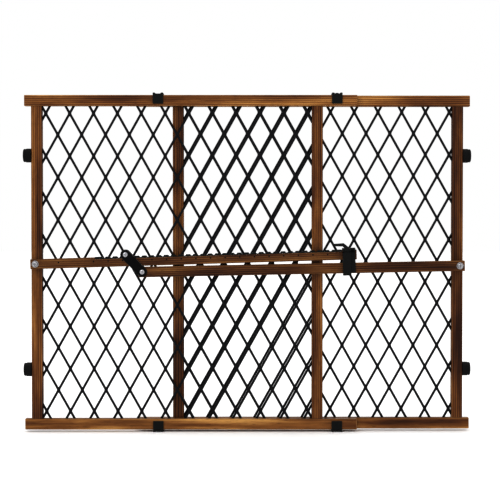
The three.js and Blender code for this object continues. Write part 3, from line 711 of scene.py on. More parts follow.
def cut_away(mesh, tool):
    """Cuts one mesh out of another with a Boolean modifier, and applies it."""
    carrier = bpy.data.objects.new("carrier", mesh)
    cutter = bpy.data.objects.new("cutter", tool)
    for each in (carrier, cutter):
        scene.collection.objects.link(each)
    knife = carrier.modifiers.new("cut", "BOOLEAN")
    knife.operation, knife.solver, knife.object = "DIFFERENCE", "EXACT", cutter
    graph = bpy.context.evaluated_depsgraph_get()
    made = bpy.data.meshes.new_from_object(carrier.evaluated_get(graph))
    for each in (carrier, cutter):
        bpy.data.objects.remove(each)
    return made


def cross_tool(reach, width, depth, top):
    """A cross-shaped driver recess, narrower at its foot, whose mouth is at a given height."""
    half = width / 2
    quarter = [(reach, -half), (reach, half), (half, half)]
    outline = []
    for i in range(4):
        for x, y in quarter:
            for _ in range(i):
                x, y = -y, x
            outline.append((x, y))
    shape = bmesh.new()
    rings = [
        [shape.verts.new((x * taper * MM, y * taper * MM, height * MM)) for x, y in outline]
        for taper, height in ((FOOT_TAPER, top - depth), (1.0, top + 0.5))
    ]
    for ring in rings:
        shape.faces.new(ring)
    for i in range(len(outline)):
        j = (i + 1) % len(outline)
        shape.faces.new((rings[0][i], rings[0][j], rings[1][j], rings[1][i]))
    bmesh.ops.triangulate(shape, faces=[face for face in shape.faces if len(face.verts) > 4])
    bmesh.ops.recalc_face_normals(shape, faces=shape.faces)
    return as_mesh(shape, "cross")

# %% [markdown]
# ## Screws, nails and rivets in rows
# The same screw or nail comes back in many places, so it is made once, and Geometry Nodes set a copy
# on each of a few marked points. Every point carries the direction that its head faces, because the
# top rail's screws look up and the bottom rail's look down.

# %% A tree that sets fasteners
def close_tree(tree, geometry, finish, outlet):
    """Ends a Geometry Nodes tree: makes its instances real, and coats them."""
    real = place(tree, "GeometryNodeRealizeInstances", {"Geometry": geometry}).outputs[0]
    coated = place(tree, "GeometryNodeSetMaterial", {"Geometry": real, "Material": finish})
    tree.links.new(coated.outputs[0], outlet["Geometry"])


fastener_tree, given, outlet = open_group(
    "Set fasteners",
    "GeometryNodeTree",
    {"Geometry": (GEOMETRY, None), "Fastener": (OBJECT, None), "Finish": (FINISH, None)},
    {"Geometry": GEOMETRY},
)
t = fastener_tree
facing = place(t, "GeometryNodeInputNamedAttribute", {"Name": "facing"},
               data_type="FLOAT_VECTOR").outputs[0]
turn = place(t, "FunctionNodeAlignRotationToVector", {"Vector": facing}, axis="Z").outputs[0]
source = place(t, "GeometryNodeObjectInfo", {"Object": given["Fastener"]}).outputs["Geometry"]
copies = place(t, "GeometryNodeInstanceOnPoints",
               {"Points": given["Geometry"], "Instance": source, "Rotation": turn}).outputs[0]
close_tree(t, copies, given["Finish"], outlet)
print("fastener tree", len(t.nodes), "nodes")

# %% [markdown]
# ### Running a tree
# A tree runs once, as a modifier on an object that is thrown away. Its inputs are set by their
# identifiers before the object is first evaluated, and what comes out is a plain mesh.

# %% Running a tree
def grown(name, tree, values, start=None):
    """Runs a Geometry Nodes tree once, and returns the plain mesh that it makes."""
    carrier = bpy.data.objects.new(name, start or bpy.data.meshes.new(name))
    scene.collection.objects.link(carrier)
    modifier = carrier.modifiers.new(name, "NODES")
    modifier.node_group = tree
    for item in tree.interface.items_tree:
        if item.in_out == "INPUT" and item.name in values:
            modifier[item.identifier] = values[item.name]
    graph = bpy.context.evaluated_depsgraph_get()
    made = bpy.data.meshes.new_from_object(carrier.evaluated_get(graph))
    carrier.modifiers.clear()
    bpy.data.objects.remove(carrier)
    return made


def marked(spots):
    """A mesh of single points from (place, facing) pairs."""
    mesh = bpy.data.meshes.new("spots")
    mesh.from_pydata([spot for spot, _ in spots], [], [])
    facing = mesh.attributes.new("facing", "FLOAT_VECTOR", "POINT")
    facing.data.foreach_set("vector", [part for _, direction in spots for part in direction])
    return mesh


def fasteners(name, body, slot, template, spots, nodes, sharp=SHARP):
    """One piece holding a copy of a template at each spot."""
    holder = bpy.data.objects.new("template", template)
    values = {"Fastener": holder, "Finish": FINISHES[slot]}
    mesh = grown(name, fastener_tree, values, marked(spots))
    bpy.data.objects.remove(holder)
    return finished(mesh, name, body, slot, nodes, sharp)

# %% [markdown]
# ### Wood screws and clip screws
# Each stile is held by a countersunk screw through the rail into its end. A pan-head screw holds
# each saddle clip, and two small countersunk screws hold the latch housing from behind. All have a
# cross recess, cut once into the template with a Boolean.

# %% A screw
WOOD_PITCH = 1.6


def screw_template(head, neck, shank, length, dome, recess):
    """A screw with its head's rim at height 0; a dome above it, or a cone below it."""
    thread = []
    turns = max(4, int((length - neck - 4) / WOOD_PITCH))
    for i in range(turns):
        foot = -(length - 3.0) + i * WOOD_PITCH
        thread += [(shank * 0.8, foot), (shank, foot + 0.5), (shank, foot + 0.8)]
    profile = [(0, -length), (shank * 0.55, -length + 2.0), *thread, (shank * 0.8, -neck - 0.4),
               (shank * 0.95, -neck)]
    if dome:
        profile += [(shank * 0.95, 0), (head * 0.96, 0), (head, dome * 0.25),
                    (head * 0.94, dome * 0.55), (head * 0.75, dome * 0.86), (head * 0.4, dome),
                    (0, dome)]
    else:
        profile += [(head * 0.97, -0.25), (head, -0.08), (head * 0.93, 0), (0, 0)]
    body = as_mesh(spun(profile, 28), "screw")
    return cut_away(body, cross_tool(*recess, dome))

# %% [markdown]
# ### All the screws
# The frame's screws look up from the top rails and down from the bottom rails. The housing's screws
# look back. A recess is given by its reach, its width and its depth.

# %% All the screws
def on_end(node, up):
    """Where a screw's head is: the middle of its packed box, at its top or bottom."""
    low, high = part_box(node)
    spot = (low + high) / 2
    spot.z = high.z if up > 0 else low.z
    return spot


SIDES = (("top", 1), ("bottom", -1))
CLIP_DOME = 1.4
stile_screw = screw_template(
    head=2.8, neck=1.6, shank=1.4, length=38.0, dome=0, recess=(1.7, 0.75, 1.6)
)
clip_screw = screw_template(
    head=3.2, neck=1.0, shank=1.6, length=15.0, dome=CLIP_DOME, recess=(1.9, 0.8, 1.5)
)
for panel in ("front", "rear"):
    nodes = [f"{panel}_{end}_{side}_screw" for end, _ in SIDES for side in ("outer", "inner")]
    ups = [up for _, up in SIDES for _ in (0, 1)]
    spots = [(on_end(node, up), (0, 0, up)) for node, up in zip(nodes, ups)]
    fasteners(f"{panel}_stile_screws", f"{panel}_panel", "zinc_steel", stile_screw, spots, nodes)
    nodes = [f"{panel}_{end}_clip_screw" for end, _ in SIDES]
    spots = [(on_end(node, up) - Vector((0, 0, up * CLIP_DOME * MM)), (0, 0, up))
             for node, (_, up) in zip(nodes, SIDES)]
    fasteners(f"{panel}_clip_screws", f"{panel}_panel", "black_steel", clip_screw, spots, nodes)

housing_screw = screw_template(
    head=2.8, neck=1.4, shank=1.4, length=9.5, dome=0, recess=(1.5, 0.7, 1.3)
)
nodes = ["housing_screw_1", "housing_screw_2"]
spots = [(Vector((middle_of(n).x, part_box(n)[1].y, middle_of(n).z)), (0, 1, 0)) for n in nodes]
piece = fasteners("housing_screws", "notched_bar", "zinc_steel", housing_screw, spots, nodes)
print("housing screws", len(piece.data.vertices), "vertices")

# %% [markdown]
# ### Bolts, washers and nuts
# Each bar turns on a bolt through the outer stile. In front it has a domed head with a cross recess
# on a washer. Behind, a hexagonal nut grips the end of its thread. The hexagon is a six-sided turned
# shape whose corners are then taken down by a bevel, as on a real nut.

# %% Bolts
BOLT_HEAD, BOLT_SHANK, BOLT_RISE = 4.7, 3.0, 3.7
BOLT_BORE = 3.3
THREADED = 9.0
THREAD_PITCH = 1.0
DOME_STEPS = 6


def bolt_template(length):
    """A pan-head bolt whose head stands on height 0, with its thread at the far end."""
    profile = [(0, -length), (BOLT_SHANK * 0.8, -length)]
    foot = -length + 0.5
    while foot < -length + THREADED:
        profile += [(BOLT_SHANK * 0.97, foot), (BOLT_SHANK * 0.97, foot + 0.25),
                    (BOLT_SHANK * 0.85, foot + 0.6)]
        foot += THREAD_PITCH
    profile += [(BOLT_SHANK, foot), (BOLT_SHANK, 0), (BOLT_HEAD * 0.97, 0)]
    for i in range(DOME_STEPS):
        turn = math.pi / 2 * i / DOME_STEPS
        profile.append((BOLT_HEAD * math.cos(turn) ** 0.7, 0.5 + (BOLT_RISE - 0.5) * math.sin(turn)))
    profile.append((0, BOLT_RISE))
    body = as_mesh(spun(profile, 40), "bolt")
    return cut_away(body, cross_tool(reach=2.8, width=1.5, depth=2.6, top=BOLT_RISE))


def nut_template(radius, height):
    """A hexagonal nut standing on height 0, bored through."""
    bore = BOLT_BORE
    shape = spun([(bore, 0), (radius, 0), (radius, height), (bore, height), (bore, 0)], 48)
    outer = [v for v in shape.verts if v.co.xy.length > (bore + 0.2) * MM]
    sixth = math.pi / 3
    for vertex in outer:
        angle = math.atan2(vertex.co.y, vertex.co.x)
        from_flat = (angle % sixth) - sixth / 2
        across = math.cos(sixth / 2) / math.cos(from_flat)
        vertex.co.x *= across
        vertex.co.y *= across
    outer = set(outer)
    rims = [e for e in shape.edges if e.calc_face_angle(0) > math.radians(60)
            and all(v in outer for v in e.verts)]
    round_off(shape, rims, 0.35 * MM, 2)
    return as_mesh(shape, "nut")


def washer_profile(reach, thick):
    """A flat washer, rounder on the side that was stamped first."""
    return [(BOLT_BORE, 0), (reach - 0.15, 0), (reach, 0.2), (reach, thick - 0.25),
            (reach - 0.25, thick), (BOLT_BORE + 0.2, thick), (BOLT_BORE, thick - 0.2), (BOLT_BORE, 0)]


def spacer_profile(reach, thick):
    """A thick washer, chamfered on both sides."""
    return [(BOLT_BORE, 0), (reach - 0.5, 0), (reach, 0.5), (reach, thick - 0.5),
            (reach - 0.5, thick), (BOLT_BORE, thick), (BOLT_BORE, 0)]


def ring_size(node):
    """A flat ring's outer radius and its thickness along Y, in millimetres."""
    low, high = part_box(node)
    return (high.z - low.z) / 2 / MM, (high.y - low.y) / MM

# %% [markdown]
# ### Both pivots
# The bolts' lengths, and where each washer and nut lies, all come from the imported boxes. The notched
# bar also has a thick spacer behind it, because it lies further from its stile.

# %% Both pivots
for bolt, washer, nut, body in (
    ("notched_bar_bolt", "notched_bar_washer", "notched_bar_nut", "front_panel"),
    ("lever_bolt", "lever_washer", "lever_nut", "rear_panel"),
):
    low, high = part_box(bolt)
    seat = Vector((middle_of(bolt).x, low.y + BOLT_RISE * MM, middle_of(bolt).z))
    length = (high.y - seat.y) / MM
    mesh = stood(bolt_template(length), seat, (0, -1, 0))
    finished(mesh, f"{bolt}_turned", body, "zinc_steel", [bolt])
    face = Vector((seat.x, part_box(washer)[1].y, seat.z))
    mesh = stood(as_mesh(spun(washer_profile(*ring_size(washer)), 48)), face, (0, -1, 0))
    finished(mesh, f"{washer}_turned", body, "zinc_steel", [washer])
    face = Vector((seat.x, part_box(nut)[0].y, seat.z))
    mesh = stood(nut_template(*ring_size(nut)), face, (0, 1, 0))
    finished(mesh, f"{nut}_turned", body, "zinc_steel", [nut], math.radians(50))
    print(bolt, "is", round(length, 1), "mm under its head")

face = middle_of("notched_bar_spacer")
face.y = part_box("notched_bar_spacer")[0].y
profile = spacer_profile(*ring_size("notched_bar_spacer"))
mesh = stood(as_mesh(spun(profile, 48)), face, (0, 1, 0))
finished(mesh, "notched_bar_spacer_turned", "front_panel", "zinc_steel", ["notched_bar_spacer"])
print("spacer reaches", round(profile[2][0], 2), "mm from its bolt's middle")

# %% [markdown]
# ### Rubber feet and their studs
# A foot is a moulded rubber button with a rounded rim and shallow rings on its face, which grip the
# wall. It is pressed onto a short threaded stud that is screwed into the stile. Feet face outwards,
# so the front panel's face -X and the rear panel's face +X.

# %% Profiles of a foot and its stud
FOOT_BORE, FOOT_DEPTH = 3.1, 8.6
FACE_GROOVES = (8.0, 5.6, 3.2)
STUD_RADIUS = 3.0


def foot_profile(radius, height):
    """A rubber foot from the floor of its bore, out and round to its ringed face."""
    rings = []
    for groove in FACE_GROOVES:
        rings += [(groove + 0.5, height - 0.1), (groove + 0.15, height - 0.6),
                  (groove - 0.15, height - 0.6), (groove - 0.5, height - 0.1)]
    return [
        (0, FOOT_DEPTH), (FOOT_BORE, FOOT_DEPTH), (FOOT_BORE, 0.4), (FOOT_BORE + 0.4, 0),
        *rounded_corner(0.7, radius, 0, up=-1, steps=3), (radius, height - 5.2),
        (radius - 0.3, height - 4.8), (radius - 0.7, height - 4.6), (radius - 0.8, height - 4.2),
        *rounded_corner(2.0, radius - 0.6, height, steps=6), *rings, (0, height - 0.1),
    ]


def stud_profile(length):
    """A threaded stud with chamfered ends."""
    radius = STUD_RADIUS
    profile = [(0, 0), (radius * 0.75, 0)]
    foot = 0.6
    while foot < length - 1.0:
        profile += [(radius * 0.98, foot), (radius * 0.98, foot + 0.25), (radius * 0.84, foot + 0.6)]
        foot += THREAD_PITCH
    return [*profile, (radius * 0.75, length), (0, length)]

# %% [markdown]
# ### All the feet
# A foot and its stud both start at the end of their packed box that is nearer the gate's middle, and
# point out from there.

# %% All the feet
def start_and_size(node, out):
    """Where a piece that points out along X starts, with its radius and length in millimetres."""
    low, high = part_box(node)
    start = (low + high) / 2
    start.x = high.x if out < 0 else low.x
    return start, (high.z - low.z) / 2 / MM, (high.x - low.x) / MM


for panel, out in (("front", -1), ("rear", 1)):
    for end, _ in SIDES:
        node = f"{panel}_{end}_bumper"
        start, radius, height = start_and_size(node, out)
        mesh = stood(as_mesh(spun(foot_profile(radius, height), 64)), start, (out, 0, 0))
        finished(mesh, f"{panel}_{end}_foot", f"{panel}_panel", "foot_rubber", [node])
        node = f"{panel}_{end}_bumper_stud"
        start, _, length = start_and_size(node, out)
        mesh = stood(as_mesh(spun(stud_profile(length), 32)), start, (out, 0, 0))
        finished(mesh, f"{panel}_{end}_stud", f"{panel}_panel", "zinc_steel", [node])
print("a foot is", round(2 * radius, 1), "mm across and", round(height, 1), "mm deep")

# %% [markdown]
# ## Diamond mesh
# The mesh is one plastic moulding: two families of slanting strands, a rounded knot where they
# cross, and a border strip that sits in the frame's groove. The tree works out each strand from its
# number. It finds where the strand's line enters and leaves the opening, and stretches a unit strand
# between the two, so that the same tree serves any opening.

# %% A tree that grows diamond mesh
MESH_TERMS = {
    "Left": (NUMBER, 0.0), "Right": (NUMBER, 0.4), "Foot": (NUMBER, 0.0), "Top": (NUMBER, 0.5),
    "First knot": (NUMBER, 0.0), "Across": (NUMBER, 0.04), "Drop": (NUMBER, 0.037),
    "Knot row": (NUMBER, 0.0), "Middle": (NUMBER, 0.0), "Width": (NUMBER, 0.0034),
    "Depth": (NUMBER, 0.003), "Border": (NUMBER, 0.005), "Finish": (FINISH, None),
}
mesh_tree, given, outlet = open_group(
    "Grow diamond mesh", "GeometryNodeTree", MESH_TERMS, {"Geometry": GEOMETRY}
)
t = mesh_tree
slant = calc(t, "DIVIDE", calc(t, "MULTIPLY", given["Across"], 0.5), given["Drop"])
fall = calc(t, "SUBTRACT", given["Top"], given["Foot"])
number = place(t, "GeometryNodeInputIndex", {}).outputs[0]
unit = place(t, "GeometryNodeMeshCylinder",
             {"Vertices": 12, "Side Segments": 10, "Radius": 0.5, "Depth": 1.0}).outputs["Mesh"]
SPARE, STRANDS = 14, 44
SHORTEST_STRAND = 0.004
families = []
for side in (1, -1):
    step = calc(t, "MULTIPLY", calc(t, "SUBTRACT", number, SPARE), given["Across"])
    shift = calc(t, "MULTIPLY", calc(t, "SUBTRACT", given["Top"], given["Knot row"]), slant)
    start = calc(t, "ADD", calc(t, "ADD", given["First knot"], step),
                 calc(t, "MULTIPLY", shift, -side))
    lean = calc(t, "MULTIPLY", slant, side)
    to_left = calc(t, "DIVIDE", calc(t, "SUBTRACT", given["Left"], start), lean)
    to_right = calc(t, "DIVIDE", calc(t, "SUBTRACT", given["Right"], start), lean)
    enters = calc(t, "MAXIMUM", 0.0, calc(t, "MINIMUM", to_left, to_right))
    leaves = calc(t, "MINIMUM", fall, calc(t, "MAXIMUM", to_left, to_right))
    half = calc(t, "MULTIPLY", calc(t, "ADD", enters, leaves), 0.5)
    drop = calc(t, "SUBTRACT", leaves, enters)
    spot = place(t, "ShaderNodeCombineXYZ", {
        "X": calc(t, "ADD", start, calc(t, "MULTIPLY", lean, half)), "Y": given["Middle"],
        "Z": calc(t, "SUBTRACT", given["Top"], half)}).outputs[0]
    points = place(t, "GeometryNodePoints", {"Count": STRANDS, "Position": spot})
    along = place(t, "ShaderNodeCombineXYZ", {"X": calc(t, "MULTIPLY", lean, -1.0), "Z": 1.0})
    turn = place(t, "FunctionNodeAlignRotationToVector", {"Vector": along.outputs[0]},
                 axis="Z", pivot_axis="Y").outputs[0]
    length = place(t, "ShaderNodeVectorMath", {0: along.outputs[0]}, operation="LENGTH")
    size = place(t, "ShaderNodeCombineXYZ", {
        "X": given["Width"], "Y": given["Depth"],
        "Z": calc(t, "MULTIPLY", drop, length.outputs["Value"])}).outputs[0]
    families.append(place(t, "GeometryNodeInstanceOnPoints", {
        "Points": points.outputs[0], "Selection": calc(t, "GREATER_THAN", drop, SHORTEST_STRAND),
        "Instance": unit, "Rotation": turn, "Scale": size}).outputs[0])
print("strand tree", len(mesh_tree.nodes), "nodes")

# %% [markdown]
# ### Knots and border
# The knots are slightly swollen, because the plastic of both strands runs together there. They are
# spheres squeezed to ovals, set on a grid with every other row moved half a step. The border is a
# rectangular strip swept around the groove, where a real moulding keeps its edge.

# %% Knots and border
COLUMNS, ROWS = 13, 16
CLEAR_OF_SIDE, CLEAR_OF_FOOT = 0.004, 0.006
KNOT_WIDE, KNOT_TALL = 1.5, 2.5

row = calc(t, "FLOOR", calc(t, "DIVIDE", calc(t, "ADD", number, 0.5), COLUMNS))
column = calc(t, "SUBTRACT", number, calc(t, "MULTIPLY", row, COLUMNS))
odd = calc(t, "MODULO", row, 2.0)
knot_x = calc(t, "ADD", given["First knot"], calc(
    t, "MULTIPLY", calc(t, "ADD", column, calc(t, "MULTIPLY", odd, 0.5)), given["Across"]))
knot_z = calc(t, "SUBTRACT", given["Knot row"], calc(t, "MULTIPLY", row, given["Drop"]))
spot = place(t, "ShaderNodeCombineXYZ", {"X": knot_x, "Y": given["Middle"], "Z": knot_z}).outputs[0]
points = place(t, "GeometryNodePoints", {"Count": COLUMNS * ROWS, "Position": spot}).outputs[0]
past_right = calc(t, "GREATER_THAN", knot_x, calc(t, "SUBTRACT", given["Right"], CLEAR_OF_SIDE))
past_foot = calc(t, "LESS_THAN", knot_z, calc(t, "ADD", given["Foot"], CLEAR_OF_FOOT))
kept = place(t, "GeometryNodeDeleteGeometry",
             {"Geometry": points, "Selection": calc(t, "MAXIMUM", past_right, past_foot)},
             domain="POINT").outputs[0]
ball = place(t, "GeometryNodeMeshUVSphere", {"Segments": 14, "Rings": 9, "Radius": 0.5})
oval = place(t, "ShaderNodeCombineXYZ", {
    "X": calc(t, "MULTIPLY", given["Width"], KNOT_WIDE), "Y": given["Depth"],
    "Z": calc(t, "MULTIPLY", given["Width"], KNOT_TALL)}).outputs[0]
knots = place(t, "GeometryNodeInstanceOnPoints",
              {"Points": kept, "Instance": ball.outputs["Mesh"], "Scale": oval}).outputs[0]

wide = calc(t, "SUBTRACT", given["Right"], given["Left"])
outline = place(t, "GeometryNodeCurvePrimitiveQuadrilateral", {
    "Width": wide, "Height": fall}, mode="RECTANGLE").outputs[0]
middle = place(t, "ShaderNodeCombineXYZ", {
    "X": calc(t, "MULTIPLY", calc(t, "ADD", given["Left"], given["Right"]), 0.5),
    "Y": given["Middle"],
    "Z": calc(t, "MULTIPLY", calc(t, "ADD", given["Top"], given["Foot"]), 0.5)}).outputs[0]
stood_up = place(t, "GeometryNodeTransform", {
    "Geometry": outline, "Translation": middle, "Rotation": (math.pi / 2, 0, 0)}).outputs[0]
section = place(t, "GeometryNodeCurvePrimitiveQuadrilateral",
                {"Width": given["Border"], "Height": given["Depth"]}, mode="RECTANGLE").outputs[0]
border = place(t, "GeometryNodeCurveToMesh",
               {"Curve": stood_up, "Profile Curve": section}).outputs[0]
joined = place(t, "GeometryNodeJoinGeometry", {}).inputs[0]
for part in (*families, knots, border):
    t.links.new(part, joined)
close_tree(t, joined.node.outputs[0], given["Finish"], outlet)
print("mesh tree", len(t.nodes), "nodes")

# %% [markdown]
# ### Both panels' mesh
# The rear panel is the front one turned about the upright axis, so its mesh is grown the same way
# and turned round. Its lattice sits a little off the front one's, so their strands cross as lines
# that never quite lie on each other.

# %% Both panels' mesh
BORDER = 4.4 * MM
STRAND_WIDTH = 4.1 * MM
KNOT_ACROSS, KNOT_DROP = 41.636 * MM, 37.2 * MM
FIRST_KNOT_IN, KNOT_ROW_DOWN = 11.2 * MM, 17.8 * MM
REAR_RIGHT_BY, REAR_UP_BY = -1.5 * MM, 3.0 * MM

for panel, turned, right_by, up_by in (
    ("front", 1, 0.0, 0.0),
    ("rear", -1, REAR_RIGHT_BY, REAR_UP_BY),
):
    low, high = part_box(f"{panel}_mesh")
    left, right = sorted((low.x * turned, high.x * turned))
    values = {
        "Left": left + BORDER / 2, "Right": right - BORDER / 2, "Foot": low.z + BORDER / 2,
        "Top": high.z - BORDER / 2, "First knot": left + FIRST_KNOT_IN + right_by,
        "Across": KNOT_ACROSS, "Drop": KNOT_DROP, "Knot row": high.z - KNOT_ROW_DOWN + up_by,
        "Middle": 0.0, "Width": STRAND_WIDTH, "Depth": high.y - low.y, "Border": BORDER,
        "Finish": FINISHES["mesh_plastic"],
    }
    mesh = grown(f"{panel}_diamond_mesh", mesh_tree, values)
    turn = Matrix.Rotation(0 if turned > 0 else math.pi, 4, "Z")
    mesh.transform(Matrix.Translation((0, (low.y + high.y) / 2, 0)) @ turn)
    finished(mesh, f"{panel}_diamond_mesh", f"{panel}_panel", "mesh_plastic", [f"{panel}_mesh"])
    print(panel, "mesh", len(mesh.polygons), "faces")

# %% [markdown]
# ## Notched rack
# The black plastic rack is set into the top of the notched bar. It is grown from one long block
# with many slices: the height of each slice's top follows from its distance to the nearest notch.
# Inside a notch it is a round hollow that fits the link's pin, and outside it is a flat tooth tip.

# %% A tree that grows the rack
rack_tree, given, outlet = open_group(
    "Grow notched rack",
    "GeometryNodeTree",
    {"Length": (NUMBER, 0.4), "Width": (NUMBER, 0.0095), "Foot": (NUMBER, 0.0),
     "Tip": (NUMBER, 0.01), "Pitch": (NUMBER, 0.0127), "First notch": (NUMBER, 0.01),
     "Last notch": (NUMBER, 0.4), "Radius": (NUMBER, 0.00275), "Centre": (NUMBER, 0.01),
     "Round": (NUMBER, 0.0004), "Finish": (FINISH, None)},
    {"Geometry": GEOMETRY},
)
t = rack_tree
SLICES = 1300
FLAT_TOP = 0.3
extent = place(t, "ShaderNodeCombineXYZ", {"X": given["Length"], "Y": given["Width"], "Z": 1.0})
block = place(t, "GeometryNodeMeshCube", {
    "Size": extent.outputs[0], "Vertices X": SLICES, "Vertices Y": 4, "Vertices Z": 2})
spot = place(t, "GeometryNodeInputPosition", {}).outputs[0]
split = place(t, "ShaderNodeSeparateXYZ", {0: spot}).outputs
x = calc(t, "ADD", split["X"], calc(t, "MULTIPLY", given["Length"], 0.5))
middle_x = calc(t, "MINIMUM", calc(t, "MAXIMUM", x, given["First notch"]), given["Last notch"])
turns = calc(t, "DIVIDE", calc(t, "SUBTRACT", middle_x, given["First notch"]), given["Pitch"])
nearest = calc(t, "ADD", given["First notch"],
               calc(t, "MULTIPLY", calc(t, "ROUND", turns), given["Pitch"]))
away = calc(t, "ABSOLUTE", calc(t, "SUBTRACT", x, nearest))
squared = calc(t, "SUBTRACT", calc(t, "MULTIPLY", given["Radius"], given["Radius"]),
               calc(t, "MULTIPLY", away, away))
arc = calc(t, "SUBTRACT", given["Centre"], calc(t, "SQRT", calc(t, "MAXIMUM", squared, 0.0)))
in_notch = calc(t, "GREATER_THAN", squared, 0.0)
tooth = calc(t, "MINIMUM", given["Tip"], arc)
top = calc(t, "ADD", calc(t, "MULTIPLY", in_notch, tooth),
           calc(t, "MULTIPLY", calc(t, "SUBTRACT", 1.0, in_notch), given["Tip"]))
outer = calc(t, "GREATER_THAN", calc(t, "ABSOLUTE", split["Y"]),
             calc(t, "MULTIPLY", given["Width"], FLAT_TOP))
rounded_top = calc(t, "SUBTRACT", top, calc(t, "MULTIPLY", outer, given["Round"]))
is_top = calc(t, "GREATER_THAN", split["Z"], 0.0)
z = calc(t, "ADD", calc(t, "MULTIPLY", is_top, rounded_top),
         calc(t, "MULTIPLY", calc(t, "SUBTRACT", 1.0, is_top), given["Foot"]))
inner_y = calc(t, "MULTIPLY", calc(t, "SIGN", split["Y"]),
               calc(t, "SUBTRACT", calc(t, "MULTIPLY", given["Width"], 0.5), given["Round"]))
y = calc(t, "ADD", calc(t, "MULTIPLY", outer, split["Y"]),
         calc(t, "MULTIPLY", calc(t, "SUBTRACT", 1.0, outer), inner_y))
shaped = place(t, "ShaderNodeCombineXYZ", {"X": x, "Y": y, "Z": z}).outputs[0]
moved = place(t, "GeometryNodeSetPosition",
              {"Geometry": block.outputs["Mesh"], "Position": shaped}).outputs[0]
close_tree(t, moved, given["Finish"], outlet)
print("rack tree", len(t.nodes), "nodes")

# %% [markdown]
# ### The rack on its bar
# The bar leans up by under two degrees, so positions along it are measured from its bolt and turned
# by that lean.

# %% The rack
BAR_BOLT = middle_of("notched_bar_washer")
RACK_START, RACK_LENGTH, RACK_WIDTH = 104.0, 428.0, 9.5
RACK_FOOT, TOOTH_TIP = 5.6, 9.2
PITCH, NOTCHES, FIRST_NOTCH = 12.7, 32, 119.5
NOTCH_RADIUS, NOTCH_LIFT = 2.75, 0.35


def on_bar(along, above=0.0, y=None):
    """A place on the notched bar, from millimetres along it and above its middle line."""
    spot = Matrix.Rotation(-notched_lean, 3, "Y") @ Vector((along * MM, 0, above * MM))
    return Vector((BAR_BOLT.x + spot.x, BAR_BOLT.y if y is None else y, BAR_BOLT.z + spot.z))


values = {
    "Length": RACK_LENGTH * MM, "Width": RACK_WIDTH * MM, "Foot": RACK_FOOT * MM,
    "Tip": TOOTH_TIP * MM, "Pitch": PITCH * MM, "First notch": (FIRST_NOTCH - RACK_START) * MM,
    "Last notch": (FIRST_NOTCH + (NOTCHES - 1) * PITCH - RACK_START) * MM,
    "Radius": NOTCH_RADIUS * MM, "Centre": (TOOTH_TIP + NOTCH_LIFT) * MM, "Round": 0.4 * MM,
    "Finish": FINISHES["black_plastic"],
}
mesh = grown("notched_rack", rack_tree, values)
low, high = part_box("notch_rack")
mesh.transform(Matrix.Translation(on_bar(RACK_START, 0, (low.y + high.y) / 2))
               @ Matrix.Rotation(-notched_lean, 4, "Y"))
finished(mesh, "notched_rack", "notched_bar", "black_plastic", ["notch_rack"])
made = [min(v.co.x for v in mesh.vertices), max(v.co.x for v in mesh.vertices)]
print("rack from", [round(m, 4) for m in made], "packed", round(low.x, 4), round(high.x, 4))

# %% [markdown]
# ### Rack nails
# Short nails hold the rack down in its rebate, and their heads show as a row of dark dots along the
# front of the bar. They are the same pitch apart as every second notch. The fastener tree sets them.

# %% Nails
NAIL_HEAD, NAIL_PROUD = 1.3, 0.06
NAIL_ROW = 1.7
LONE_NAIL, FIRST_NAIL, NAILS = 40.6, 101.2, 17
nail_places = [LONE_NAIL, *(FIRST_NAIL + 2 * PITCH * k for k in range(NAILS))]
nail = as_mesh(spun([(0, -6), (0.5, -4.5), (0.55, -0.5), (NAIL_HEAD, -0.35), (NAIL_HEAD, 0),
                     (NAIL_HEAD * 0.7, NAIL_PROUD), (0, NAIL_PROUD)], 16), "nail")
front_of_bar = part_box("notched_bar")[0].y
spots = [(on_bar(along, NAIL_ROW, front_of_bar), (0, -1, 0)) for along in nail_places]
piece = fasteners("rack_nails", "notched_bar", "black_steel", nail, spots, [])
print(len(nail_places), "nails,", len(piece.data.polygons), "faces")

# %% [markdown]
# ## Moulded clips and the latch
# The saddle clips, the latch housing and its hook are moulded parts with real bores and slots.
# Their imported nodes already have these, so each piece starts as a welded copy, and a small radius is
# given to its edges, as a mould needs. The radius is what makes black plastic catch the light.

# %% Moulded parts
def crisp_edges(shape, angle, shortest):
    """Edges that turn by more than an angle and are longer than a length."""
    return [e for e in shape.edges if len(e.link_faces) == 2
            and e.calc_face_angle(0) > angle and e.calc_length() > shortest]


def moulded(node, radius, shortest=1.2 * MM, angle=math.radians(50)):
    """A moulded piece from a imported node, with a small radius on its edges."""
    shape = welded(node)
    round_off(shape, crisp_edges(shape, angle, shortest), radius, 3)
    return finished(as_mesh(shape), f"{node}_moulded", body_of(node), "black_plastic", [node])


for panel in ("front", "rear"):
    for end, _ in SIDES:
        moulded(f"{panel}_{end}_clip", 0.5 * MM)
moulded("latch_housing", 0.45 * MM)
piece = moulded("latch_hook", 0.3 * MM)
print("latch hook", len(piece.data.polygons), "faces")

# %% [markdown]
# ### Hinge pin
# The hook turns on a blackened pin through the housing's lugs. The pin is turned, with a chamfer at
# each end, and lies along the bar.

# %% Hinge pin
BAR_WAY = on_bar(1) - on_bar(0)
low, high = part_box("latch_hinge_pin")
pin_length = (high.x - low.x) / MM
pin_profile = [(0, 0), (1.0, 0), (1.33, 0.35), (1.33, pin_length - 0.35), (1.0, pin_length),
               (0, pin_length)]
mesh = as_mesh(spun(pin_profile, 32))
spot = middle_of("latch_hinge_pin") - BAR_WAY.normalized() * pin_length * MM / 2
finished(stood(mesh, spot, BAR_WAY), "latch_hinge_pin_turned", "notched_bar", "black_steel",
         ["latch_hinge_pin"])

# %% [markdown]
# ### Spring
# A coil spring on the same pin pushes the hook shut. The coil is a helix with a round wire swept
# along it by Geometry Nodes.

